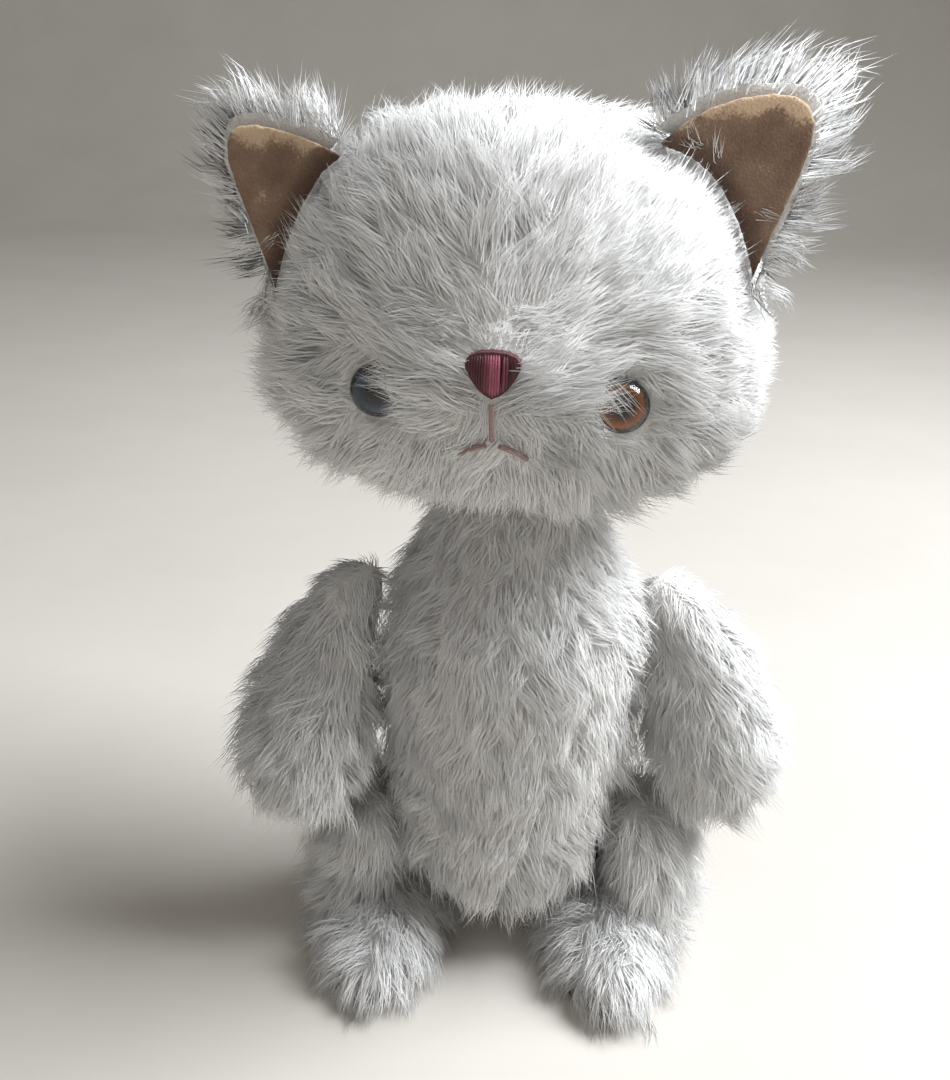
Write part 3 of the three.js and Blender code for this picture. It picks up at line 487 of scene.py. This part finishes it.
def middle(node_name):
    low, high = (np.array(corner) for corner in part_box(node_name))
    return (low + high) / 2


def blended(value, start, end):
    """0 below start, 1 above end, smooth between them."""
    share = np.clip((value - start) / (end - start), 0, 1)
    return share * share * (3 - 2 * share)


DOWN = np.array((0.0, 0.0, -1.0))

# ------------------------------------------------------------------ pile of the head
# Brushed away from the nose on all sides: up over the forehead, out over the cheeks and down the
# chin. It is trimmed short on the muzzle and round the eyes, so that they can be seen.

nose_place = middle("nose_embroidery")
eye_places = {side: middle(f"{side}_eye_glass") for side in ("left", "right")}
linings = solids(["left_ear_lining", "right_ear_lining"])
HEAD_BACK = (0.0, 0.035)  # from the middle to the back, where the brushing turns downwards
NOSE_SIDE = (-0.75, -0.25)  # how squarely a place lies between an eye and the nose, -1 at most
EYE_CLEAR = 0.0078
EYE_OVERHANG = 0.0016  # how much nearer the pile of the muzzle comes to the eye
EYE_TRIM = 0.014
EYE_SHORTER = 0.55
NOSE_CLEAR = 0.0066
MUZZLE_PILE, HEAD_PILE_MORE = 0.0062, 0.0058
MUZZLE_START, MUZZLE_TRIM = 0.006, 0.034
CHEEK, CHEEK_SHORTER = (0.028, 0.052), 0.42  # the cat's left cheek is clipped closer
LINING_NEAR, LINING_SHORTEST = (0.004, 0.016), 0.38
CROWN = (0.205, 0.228)
MUZZLE_LEAN, HEAD_LEAN_MORE = 0.40, 0.18
LEAN_FROM = (0.015, 0.05)


def from_nose(places, outs):
    away = unit(places - nose_place)
    behind = blended(places[:, 1], *HEAD_BACK)[:, None]
    return away * (1 - behind) + DOWN * behind


def outer_share(places, eye):
    """0 on the side of an eye that is next to the nose, 1 on its other sides."""
    beside = np.sum(unit(places - eye) * unit(eye - nose_place), axis=1)
    return blended(beside, *NOSE_SIDE)


def head_length(places, outs):
    apart = np.linalg.norm(places - nose_place, axis=1)
    size = MUZZLE_PILE + HEAD_PILE_MORE * blended(apart, MUZZLE_START, MUZZLE_TRIM)
    size *= 1 - CHEEK_SHORTER * blended(places[:, 0], *CHEEK)
    for eye in eye_places.values():
        trim = 1 - blended(np.linalg.norm(places - eye, axis=1), EYE_CLEAR, EYE_TRIM)
        size *= 1 - EYE_SHORTER * trim * outer_share(places, eye)
    near_lining = np.array([linings.find_nearest(Vector(place))[3] for place in places])
    return size * (LINING_SHORTEST + (1 - LINING_SHORTEST) * blended(near_lining, *LINING_NEAR))


def head_lean(places, outs):
    crown = blended(places[:, 2], *CROWN)
    apart = np.linalg.norm(places - nose_place, axis=1)
    return MUZZLE_LEAN + HEAD_LEAN_MORE * blended(apart, *LEAN_FROM) * (1 - crown)


def head_keep(places, outs):
    open_place = np.linalg.norm(places - nose_place, axis=1) > NOSE_CLEAR
    for eye in eye_places.values():
        clear = EYE_CLEAR - EYE_OVERHANG * (1 - outer_share(places, eye))
        open_place &= np.linalg.norm(places - eye, axis=1) > clear
    return open_place


pile("head_pile", skins["head_skin"], "head", per_square=2.9, brush=from_nose, length=head_length,
     lean=head_lean, seed=11, keep=head_keep, follow=0.2)

TUFT_NEAR, TUFT_FAR = 0.0012, 0.0190  # across from the middle of the face
TUFT_LOW, TUFT_HIGH = -0.0100, 0.0015  # up from the middle of the nose
TUFT_DEPTH = 0.02
TUFT_OUT, TUFT_UP = -0.30, 0.42
TUFT_LENGTH, TUFT_LEAN = 0.0150, 0.42


def from_lip(places, outs):
    """Outwards to both sides from the line under the nose, and a little up."""
    aside = np.sign(places[:, 0] - nose_place[0])
    return np.stack((aside, np.full(len(places), TUFT_OUT), np.full(len(places), TUFT_UP)), axis=1)


def beside_lip(places, outs):
    across, up = np.abs(places[:, 0] - nose_place[0]), places[:, 2] - nose_place[2]
    front = places[:, 1] < nose_place[1] + TUFT_DEPTH
    return front & (across > TUFT_NEAR) & (across < TUFT_FAR) & (up > TUFT_LOW) & (up < TUFT_HIGH)


def even(size):
    """The same length or lean all over a skin."""
    return lambda places, outs: np.full(len(places), size)


pile("muzzle_tufts", skins["head_skin"], "head", per_square=3.0, brush=from_lip, length=even(TUFT_LENGTH),
     lean=even(TUFT_LEAN), seed=12, keep=beside_lip, follow=0.5, spread=0.2)


# ------------------------------------------------------------------ pile of the body and tail
# The body is brushed downwards and clipped a little shorter in front, with a fringe left at the
# bottom. The tail's pile runs out to its tip.

BODY_PILE, BODY_SHORTER = 0.0142, 0.0030
BODY_SIDE = (0.022, 0.032)  # out from the middle
BODY_FRINGE = (0.026, 0.052)  # up from the floor
BODY_LEAN, BODY_LIFT = 0.52, 0.1
TAIL_PILE, TAIL_LEAN = 0.009, 0.45
TAIL_WAY = np.array((0.0, 0.75, 0.66))


def downwards(places, outs):
    return np.tile(DOWN, (len(places), 1)) + outs * BODY_LIFT


def body_length(places, outs):
    at_side = blended(np.abs(places[:, 0]), *BODY_SIDE)
    return BODY_PILE - BODY_SHORTER * blended(places[:, 2], *BODY_FRINGE) * (1 - at_side)


def along_tail(places, outs):
    return np.tile(TAIL_WAY, (len(places), 1))


pile("body_pile", skins["torso_skin"], "torso", per_square=2.6, brush=downwards, length=body_length,
     lean=even(BODY_LEAN), seed=21)
pile("tail_pile", skins["tail_skin"], "torso", per_square=2.6, brush=along_tail, length=even(TAIL_PILE),
     lean=even(TAIL_LEAN), seed=31)


# ------------------------------------------------------------------ pile of the arms and legs
# Brushed towards the paws. On the feet it fans forward and down and ends just above the floor.

ROOT_IN, PAW_OUT, PAW_FORWARD = 0.010, 0.012, 0.004  # where an arm's middle line starts and ends
ARM_LEAN, ARM_TOP_FLATTER, ARM_LEAN_TOP = 0.58, 0.40, (0.024, 0.004)
ARM_PILE, ARM_TOP_SHORTER, ARM_PILE_TOP = 0.0118, 0.0055, (0.016, 0.002)
FOOT_PILE, LEG_PILE_MORE, FOOT_TOP = 0.0130, 0.0020, (0.014, 0.026)
FAN_BACK, FAN_SHARE, FAN_TOP = 0.012, 0.55, (0.014, 0.030)
FOOT_LEAN = 0.50
SOLE_CLEAR, UNDERSIDE = 0.0022, -0.75  # no pile grows on the sole

for number, side in enumerate(("left", "right")):
    low, high = (np.array(corner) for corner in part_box(f"{side}_arm_skin"))
    outward = 1 if side == "left" else -1
    middle_x, middle_y = (low[0] + high[0]) / 2, (low[1] + high[1]) / 2
    root = np.array((middle_x - outward * ROOT_IN, middle_y, high[2]))
    paw = np.array((middle_x + outward * PAW_OUT, middle_y - PAW_FORWARD, low[2]))
    arm_way = (paw - root) / np.linalg.norm(paw - root)

    def along_arm(places, outs, way=arm_way):
        return np.tile(way, (len(places), 1))

    def arm_lean(places, outs, top=high[2]):
        upper, upmost = ARM_LEAN_TOP
        return ARM_LEAN - ARM_TOP_FLATTER * blended(places[:, 2], top - upper, top - upmost)

    def arm_length(places, outs, top=high[2]):
        upper, upmost = ARM_PILE_TOP
        return ARM_PILE - ARM_TOP_SHORTER * blended(places[:, 2], top - upper, top - upmost)

    pile(f"{side}_arm_pile", skins[f"{side}_arm_skin"], f"{side}_arm", per_square=3.3, brush=along_arm,
         length=arm_length, lean=arm_lean, seed=41 + number, follow=0.6)

    sole = middle(f"{side}_sole_pad")

    def over_foot(places, outs, sole=sole):
        fan = places - (sole + np.array((0, FAN_BACK, 0)))
        fan[:, 2] = 0
        low_down = (1 - blended(places[:, 2], *FAN_TOP))[:, None]
        return DOWN * (1 - FAN_SHARE * low_down) + unit(fan) * low_down

    def foot_length(places, outs):
        return FOOT_PILE + LEG_PILE_MORE * blended(places[:, 2], *FOOT_TOP)

    def foot_keep(places, outs):
        return (places[:, 2] > SOLE_CLEAR) & (outs[:, 2] > UNDERSIDE)

    pile(f"{side}_leg_pile", skins[f"{side}_leg_skin"], f"{side}_leg", per_square=3.3, brush=over_foot,
         length=foot_length, lean=even(FOOT_LEAN), seed=51 + number, keep=foot_keep)


# ------------------------------------------------------------------ pile of the ears
# The densest pile. It grows on the back and the edge of each ear, and stands out round the lining.

EAR_PILE, EAR_LEAN = 0.0120, 0.25
EAR_BASE_IN, EAR_BASE_DOWN = 0.010, 0.006
LINING_CLEAR = 0.0020

for number, side in enumerate(("left", "right")):
    lining = middle(f"{side}_ear_lining")
    outward = 1 if side == "left" else -1
    base = lining + np.array((-outward * EAR_BASE_IN, 0.0, -EAR_BASE_DOWN))
    nap = solids([f"{side}_ear_lining"])

    def out_from_base(places, outs, base=base):
        return places - base

    def round_lining(places, outs, nap=nap):
        return np.array([nap.find_nearest(Vector(place))[3] for place in places]) > LINING_CLEAR

    pile(f"{side}_ear_pile", skins[f"{side}_ear_back"], "head", per_square=4.6, brush=out_from_base,
         length=even(EAR_PILE), lean=even(EAR_LEAN), seed=61 + number, spread=0.2, keep=round_lining,
         gather_curls=0)


# ------------------------------------------------------------------ ear linings
# Brown short-nap cloth in patches of darker pressed and paler brushed-up nap, paler along its inner edge
# and tip, with painted shade in the crease where it meets the head. It is sewn to the ear's back round
# the edge and curls forward with it.

PATCHES, FIBRES = (130, 3), (1700, 4)  # scale per metre and detail
PATCH_SHARE, FIBRE_SHARE = 0.55, 0.30
NAP_TONES = (0.30, 0.62, 0.88, 1.0)
NAP_RELIEF, NAP_DEPTH = 0.8, 0.0005
LINING_VOXEL, LINING_SOFTENING = 0.0005, 8
PALE_EDGE, PALE_TIP, TIP_SHARE = (0.02, 0.32), (0.80, 0.99), 0.7  # across and up the lining
# Painted shade in the crease where the lining meets the head: darkest nearest the head and none beyond the
# second distance. The third number below is how far it darkens the map.
CREASE_SHADE_REACH = (0.0012, 0.0060)  # away from the head
NAP_MIDDLE, NAP_PALER, NAP_CREASE_SHADE = 0.36, 0.40, 0.36


def napped(name, crease_shade, pressed, plain, raised):
    """Short nap in four tones, from the painted shade of a crease to raised pale pile, after the map "nap".
    """
    material = bpy.data.materials.new(name)
    material.use_nodes = True
    tree = material.node_tree
    shader = tree.nodes["Principled BSDF"]
    place = tree.nodes.new("ShaderNodeTexCoord")
    patches, fibres = (tree.nodes.new("ShaderNodeTexNoise") for _ in range(2))
    for noise, (scale, detail) in ((patches, PATCHES), (fibres, FIBRES)):
        noise.inputs["Scale"].default_value = scale
        noise.inputs["Detail"].default_value = detail
        tree.links.new(place.outputs["Object"], noise.inputs["Vector"])
    nap = tree.nodes.new("ShaderNodeAttribute")
    nap.attribute_name = "nap"
    spread, fine = (tree.nodes.new("ShaderNodeMath") for _ in range(2))
    for adding, share in ((spread, PATCH_SHARE), (fine, FIBRE_SHARE)):
        adding.operation = "MULTIPLY_ADD"
        adding.inputs[1].default_value = share
    tree.links.new(patches.outputs["Fac"], spread.inputs[0])
    tree.links.new(nap.outputs["Fac"], spread.inputs[2])
    tree.links.new(fibres.outputs["Fac"], fine.inputs[0])
    tree.links.new(spread.outputs["Value"], fine.inputs[2])
    ramp = tree.nodes.new("ShaderNodeValToRGB")
    stops = ramp.color_ramp.elements
    # the darkest stop is the painted shade of the crease
    stops[0].position, stops[0].color = NAP_TONES[0], (*crease_shade, 1)
    stops[1].position, stops[1].color = NAP_TONES[3], (*raised, 1)
    for at, colour in ((NAP_TONES[1], pressed), (NAP_TONES[2], plain)):
        stops.new(at).color = (*colour, 1)
    tree.links.new(fine.outputs["Value"], ramp.inputs["Fac"])
    tree.links.new(ramp.outputs["Color"], shader.inputs["Base Color"])
    relief = tree.nodes.new("ShaderNodeBump")
    relief.inputs["Strength"].default_value = NAP_RELIEF
    relief.inputs["Distance"].default_value = NAP_DEPTH
    tree.links.new(fibres.outputs["Fac"], relief.inputs["Height"])
    tree.links.new(relief.outputs["Normal"], shader.inputs["Normal"])
    shader.inputs["Roughness"].default_value = 0.95
    shader.inputs["Sheen Weight"].default_value = 0.35
    return material


# The first colour is painted shade for the crease next to the head; the other three are the nap's own tones
lining_cloth = napped("lining_nap", (0.055, 0.024, 0.013), (0.130, 0.073, 0.045), (0.24, 0.150, 0.096),
                      (0.60, 0.43, 0.28))
head_surface = solids(["head_skin"])
for side in ("left", "right"):
    shape = bmesh.new()
    shape.from_mesh(nodes[f"{side}_ear_lining"].data)
    bmesh.ops.remove_doubles(shape, verts=shape.verts, dist=SAME_PLACE)
    piece = new_piece(f"{side}_ear_nap", shape)
    remesh = piece.modifiers.new("even", "REMESH")
    remesh.mode = "VOXEL"
    remesh.voxel_size = LINING_VOXEL
    smooth = piece.modifiers.new("soften", "SMOOTH")
    smooth.iterations = LINING_SOFTENING
    finished(piece)
    for face in piece.data.polygons:
        face.use_smooth = True
    low, high = (np.array(corner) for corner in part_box(f"{side}_ear_lining"))
    nap = piece.data.attributes.new("nap", "FLOAT", "POINT")
    for vertex in piece.data.vertices:
        outer = (vertex.co.x - low[0]) / (high[0] - low[0])
        outer = outer if side == "left" else 1 - outer
        upper = (vertex.co.z - low[2]) / (high[2] - low[2])
        pale = max(1 - blended(outer, *PALE_EDGE), TIP_SHARE * blended(upper, *PALE_TIP))
        # Painted shade: the lining darkens where it lies close to the head, in the crease between them
        head_crease_shade = 1 - blended(head_surface.find_nearest(vertex.co)[3], *CREASE_SHADE_REACH)
        nap.data[vertex.index].value = NAP_MIDDLE + NAP_PALER * pale * (1 - head_crease_shade) - NAP_CREASE_SHADE * head_crease_shade
    dress(piece, lining_cloth)
    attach(piece, "head")
    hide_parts(f"{side}_ear_lining")


# ------------------------------------------------------------------ glass eyes
# Each is a clear glass dome, cast over an iris that is painted on its flat back: dark at the rim,
# streaked towards a black pupil. The cat's right eye is blue and its left one amber.

EYE_TURNS = 48
EYE_ARC = 12
EYE_RIM = 1 / 6  # the height of the dome's straight edge, as a share of the whole
PUPIL, PUPIL_EDGE = 0.20, 0.05  # out from the middle, on a map one wide
STREAK_SCALE, STREAK_DETAIL, STREAK_REACH = 9, 5, 0.10
IRIS_END, RIM_START, RIM_END = 0.40, 0.45, 0.55
PUPIL_COLOUR, RIM_COLOUR, EDGE_COLOUR = (0.003, 0.003, 0.004), (0.030, 0.027, 0.018), (0.004, 0.004, 0.004)
MERGED = 1e-6
eye_glass = bpy.data.materials.new("eye_glass")
eye_glass.use_nodes = True
shader = eye_glass.node_tree.nodes["Principled BSDF"]
shader.inputs["Base Color"].default_value = (1, 1, 1, 1)
shader.inputs["Roughness"].default_value = 0.02
shader.inputs["Transmission Weight"].default_value = 1.0
shader.inputs["IOR"].default_value = 1.45


def painted_iris(name, inner, outer):
    """Black pupil, streaks that run out from it, and a dark rim, on a map centred on the iris."""
    material = bpy.data.materials.new(name)
    material.use_nodes = True
    tree = material.node_tree
    shader = tree.nodes["Principled BSDF"]
    place = tree.nodes.new("ShaderNodeUVMap")
    place.uv_map = "iris"
    centred = tree.nodes.new("ShaderNodeVectorMath")
    centred.operation = "SUBTRACT"
    centred.inputs[1].default_value = (0.5, 0.5, 0)
    tree.links.new(place.outputs["UV"], centred.inputs[0])
    far = tree.nodes.new("ShaderNodeVectorMath")
    far.operation = "LENGTH"
    tree.links.new(centred.outputs["Vector"], far.inputs[0])
    round_way = tree.nodes.new("ShaderNodeVectorMath")
    round_way.operation = "NORMALIZE"
    tree.links.new(centred.outputs["Vector"], round_way.inputs[0])
    streaks = tree.nodes.new("ShaderNodeTexNoise")
    streaks.inputs["Scale"].default_value = STREAK_SCALE
    streaks.inputs["Detail"].default_value = STREAK_DETAIL
    tree.links.new(round_way.outputs["Vector"], streaks.inputs["Vector"])
    wander = tree.nodes.new("ShaderNodeMath")
    wander.operation = "MULTIPLY_ADD"
    wander.inputs[1].default_value = STREAK_REACH
    tree.links.new(streaks.outputs["Fac"], wander.inputs[0])
    tree.links.new(far.outputs["Value"], wander.inputs[2])
    ramp = tree.nodes.new("ShaderNodeValToRGB")
    stops = ramp.color_ramp.elements
    stops[0].position, stops[0].color = PUPIL, (*PUPIL_COLOUR, 1)
    stops[1].position, stops[1].color = PUPIL + PUPIL_EDGE, (*inner, 1)
    for at, colour in ((IRIS_END, outer), (RIM_START, RIM_COLOUR), (RIM_END, EDGE_COLOUR)):
        stops.new(at).color = (*colour, 1)
    tree.links.new(wander.outputs["Value"], ramp.inputs["Fac"])
    tree.links.new(ramp.outputs["Color"], shader.inputs["Base Color"])
    shader.inputs["Roughness"].default_value = 0.25
    return material


iris_paint = {
    "left": painted_iris("amber_iris", (0.050, 0.013, 0.002), (0.33, 0.090, 0.010)),
    "right": painted_iris("blue_iris", (0.004, 0.010, 0.024), (0.028, 0.062, 0.105)),
}


def eye_direction(side):
    """The way an eye looks: from its painted back to its dome."""
    back, front = middle(f"{side}_eye_iris"), middle(f"{side}_eye_glass")
    return Vector(front - back).normalized()


for side in ("left", "right"):
    glass_node, iris_node = nodes[f"{side}_eye_glass"], nodes[f"{side}_eye_iris"]
    look = eye_direction(side)
    centre = Vector(middle(f"{side}_eye_iris"))
    heights = [(vertex.co - centre).dot(look) for vertex in glass_node.data.vertices]
    flats = [((vertex.co - centre) - look * (vertex.co - centre).dot(look)).length
             for vertex in glass_node.data.vertices]
    back, top, radius = min(heights), max(heights), max(flats)
    rim = back + (top - back) * EYE_RIM
    to_place = Matrix.Translation(centre) @ look.to_track_quat("Z", "Y").to_matrix().to_4x4()

    dome = bmesh.new()
    profile = [Vector((0, 0, back)), Vector((radius, 0, back))]
    for step in range(EYE_ARC + 1):
        bend = step / EYE_ARC * math.pi / 2
        profile.append(Vector((radius * math.cos(bend), 0, rim + (top - rim) * math.sin(bend))))
    line = [dome.verts.new(point) for point in profile]
    edges = [dome.edges.new(pair) for pair in zip(line, line[1:])]
    bmesh.ops.spin(dome, geom=line + edges, cent=(0, 0, 0), axis=(0, 0, 1), angle=2 * math.pi,
                   steps=EYE_TURNS, use_merge=True)
    bmesh.ops.remove_doubles(dome, verts=dome.verts, dist=MERGED)
    bmesh.ops.recalc_face_normals(dome, faces=dome.faces)
    bmesh.ops.transform(dome, matrix=to_place, verts=dome.verts)
    for face in dome.faces:
        face.smooth = True
    piece = new_piece(f"{side}_eye_dome", dome)
    dress(piece, eye_glass)
    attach(piece, "head")
    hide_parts(glass_node.name)

    iris_flats = [((vertex.co - centre) - look * (vertex.co - centre).dot(look)).length
                  for vertex in iris_node.data.vertices]
    iris_heights = [(vertex.co - centre).dot(look) for vertex in iris_node.data.vertices]
    plate = bmesh.new()
    bmesh.ops.create_circle(plate, cap_ends=True, radius=max(iris_flats), segments=EYE_TURNS)
    bmesh.ops.translate(plate, verts=plate.verts, vec=(0, 0, min(iris_heights)))
    lift = max(iris_heights) - min(iris_heights)
    raised = bmesh.ops.extrude_face_region(plate, geom=list(plate.faces))
    tops = [item for item in raised["geom"] if isinstance(item, bmesh.types.BMVert)]
    bmesh.ops.translate(plate, verts=tops, vec=(0, 0, lift))
    bmesh.ops.recalc_face_normals(plate, faces=plate.faces)
    iris_map = plate.loops.layers.uv.new("iris")
    for face in plate.faces:
        for loop in face.loops:
            loop[iris_map].uv = (0.5 + loop.vert.co.x / (2 * max(iris_flats)),
                                 0.5 + loop.vert.co.y / (2 * max(iris_flats)))
    bmesh.ops.transform(plate, matrix=to_place, verts=plate.verts)
    piece = new_piece(f"{side}_eye_paint", plate)
    dress(piece, iris_paint[side])
    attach(piece, "head")
    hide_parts(iris_node.name)


# ------------------------------------------------------------------ nose and mouth
# The nose is satin stitch: close rows of glossy thread, sewn up and down over a small padded
# triangle. The mouth is three long stitches of a thinner, duller thread.

THREAD_SIDES = 8
THREAD_END = 0.35  # the radius at an end, as a share of the full one
THREAD_TAPER = 6  # a thread has its full radius from a sixth of its length in


def thread(shape, points, radius):
    """Adds a round closed thread along points to a bmesh, thinner where it enters the cloth."""
    count = len(points)
    rings = []
    for index, point in enumerate(points):
        ahead_way = (points[min(index + 1, count - 1)] - points[max(index - 1, 0)]).normalized()
        share = index / (count - 1)
        thin = radius * (THREAD_END + (1 - THREAD_END) * min(1, THREAD_TAPER * min(share, 1 - share)))
        ring = bmesh.ops.create_circle(shape, segments=THREAD_SIDES, radius=thin)["verts"]
        place = Matrix.Translation(point) @ ahead_way.to_track_quat("Z", "Y").to_matrix().to_4x4()
        bmesh.ops.transform(shape, matrix=place, verts=ring)
        rings.append(ring)
    for low, high in zip(rings, rings[1:]):
        loops = [edge for ring in (low, high) for edge in shape.edges
                 if edge.verts[0] in ring and edge.verts[1] in ring]
        bmesh.ops.bridge_loops(shape, edges=loops)
    shape.faces.new(reversed(rings[0]))
    shape.faces.new(rings[-1])


UP_AND_DOWN = (3, 3, 0.4)  # the grain runs with the stitches
# The edge rows have the wine-red thread's own colour. The middle rows are lightened to pink as a painted
# sheen where the crown of the nose catches the light, and the rows beside them are partly lightened.
nose_threads = {
    "edge": finish("nose_thread", (0.105, 0.020, 0.026), (0.055, 0.010, 0.014), 900, 0.45, 0.6,
                   stretch=UP_AND_DOWN),
    "middle": finish("nose_thread_painted_sheen", (0.40, 0.105, 0.155), (0.24, 0.050, 0.085), 900, 0.42, 0.6,
                     stretch=UP_AND_DOWN),
    "blend": finish("nose_thread_sheen_fade", (0.20, 0.045, 0.062), (0.12, 0.024, 0.036), 900, 0.44, 0.6,
                    stretch=UP_AND_DOWN),
}
mouth_thread = finish("mouth_thread", (0.36, 0.25, 0.225), (0.27, 0.175, 0.16), 1200, 0.7, 0.6)

low, high = (np.array(corner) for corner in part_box("nose_embroidery"))
nose_width, nose_drop = high[0] - low[0], high[2] - low[2]
nose_tree = solids(["nose_embroidery"])
NOSE_ROWS = 21
NOSE_THREAD = 0.00036
NOSE_POINTS = 9
NOSE_LOOKS, NOSE_AHEAD = 40, 0.02  # where the nose's outline is felt for, row by row
CROWN_OVER, STITCH_OVER, STITCH_SUNK, STITCH_BEND = 0.0011, 0.0004, 0.0005, 0.6
# Painted sheen: rows within the first span take the pink middle thread, and the rest of the second span the
# partly lightened one
SHEEN_MIDDLE, SHEEN_FADE = (0.41, 0.62), (0.32, 0.72)  # across the nose
rows = {"edge": bmesh.new(), "blend": bmesh.new(), "middle": bmesh.new()}
for row in range(NOSE_ROWS):
    share = (row + 0.5) / NOSE_ROWS
    x = low[0] + nose_width * share
    hits = []
    for step in range(NOSE_LOOKS):
        z = low[2] + nose_drop * (step + 0.5) / NOSE_LOOKS
        hit = nose_tree.ray_cast(Vector((x, low[1] - NOSE_AHEAD, z)), Vector((0, 1, 0)))[0]
        if hit is not None:
            hits.append(hit)
    if len(hits) < 3:
        continue
    bottom, top = hits[0], hits[-1]
    crown = CROWN_OVER * math.sin(math.pi * share)
    points = []
    for step in range(NOSE_POINTS):
        part = step / (NOSE_POINTS - 1)
        point = bottom.lerp(top, part)
        point.y -= (crown + STITCH_OVER) * math.sin(math.pi * part) ** STITCH_BEND - STITCH_SUNK
        points.append(point)
    tone = "middle" if SHEEN_MIDDLE[0] < share < SHEEN_MIDDLE[1] else "blend" if SHEEN_FADE[0] < share < SHEEN_FADE[1] else "edge"
    thread(rows[tone], points, NOSE_THREAD)
for place, shape in rows.items():
    for face in shape.faces:
        face.smooth = True
    bmesh.ops.recalc_face_normals(shape, faces=shape.faces)
    piece = new_piece(f"nose_stitches_{place}", shape)
    dress(piece, nose_threads[place])
    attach(piece, "head")
dress(nodes["nose_embroidery"], nose_threads["edge"])
for name in ("mouth_stitch_middle", "mouth_stitch_left", "mouth_stitch_right"):
    dress(nodes[name], mouth_thread)


# ------------------------------------------------------------------ sole pads
# Short-nap brown cloth over the card insole, sewn round the edge of each foot.

pad_cloth = finish("pad_nap", (0.16, 0.095, 0.058), (0.08, 0.045, 0.027), 900, 0.95, 0.9)
for side in ("left", "right"):
    dress(nodes[f"{side}_sole_pad"], pad_cloth)


# ------------------------------------------------------------------ floor and light
# A plain pale floor that curves up into a wall far behind. The brightest soft light comes from above
# on the cat's left, as from a window, and a weak warm one fills in from the front.

SWEEP_HALF_WIDTH = 12
SWEEP_FRONT, SWEEP_BEND, SWEEP_RADIUS, SWEEP_TOP = -4, 1.3, 0.8, 3
SWEEP_STEPS = 16
floor_shape = bmesh.new()
line = [Vector((0, SWEEP_FRONT, 0)), Vector((0, SWEEP_BEND, 0))]
for step in range(1, SWEEP_STEPS + 1):
    bend = step / SWEEP_STEPS * math.pi / 2
    back, up = SWEEP_RADIUS * math.sin(bend), SWEEP_RADIUS * (1 - math.cos(bend))
    line.append(Vector((0, SWEEP_BEND + back, up)))
line.append(Vector((0, SWEEP_BEND + SWEEP_RADIUS, SWEEP_TOP)))
ends = [floor_shape.verts.new(point - Vector((SWEEP_HALF_WIDTH, 0, 0))) for point in line]
edges = [floor_shape.edges.new(pair) for pair in zip(ends, ends[1:])]
swept = bmesh.ops.extrude_edge_only(floor_shape, edges=edges)
moved_ends = [item for item in swept["geom"] if isinstance(item, bmesh.types.BMVert)]
bmesh.ops.translate(floor_shape, verts=moved_ends, vec=(2 * SWEEP_HALF_WIDTH, 0, 0))
floor_shape.normal_update()
if sum(face.normal.z for face in floor_shape.faces) < 0:
    bmesh.ops.reverse_faces(floor_shape, faces=floor_shape.faces)
for face in floor_shape.faces:
    face.smooth = True
floor = new_piece("floor", floor_shape)
dress(floor, finish("pale_floor", (0.60, 0.565, 0.52), (0.56, 0.525, 0.48), 6, 0.8, 0.02))

ROOM_LIGHT = 0.27
LIT_PLACE = Vector((0, 0, 0.13))  # the middle of the toy
world = bpy.data.worlds.new("studio")
world.use_nodes = True
world.node_tree.nodes["Background"].inputs["Color"].default_value = (1.0, 0.98, 0.95, 1)
world.node_tree.nodes["Background"].inputs["Strength"].default_value = ROOM_LIGHT
bpy.context.scene.world = world
bpy.context.scene.view_settings.view_transform = "Standard"

for name, place, size, power, colour in (
    ("window", (0.62, 0.00, 0.95), 0.6, 24.0, (0.92, 0.96, 1.0)),
    ("front", (-0.40, -1.0, 0.70), 1.0, 1.4, (1.0, 0.965, 0.92)),
):
    data = bpy.data.lights.new(name, "AREA")
    data.size = size
    data.energy = power
    data.color = colour
    lamp = bpy.data.objects.new(name, data)
    lamp.location = place
    lamp.rotation_euler = (LIT_PLACE - Vector(place)).to_track_quat("-Z", "Y").to_euler()
    bpy.context.scene.collection.objects.link(lamp)
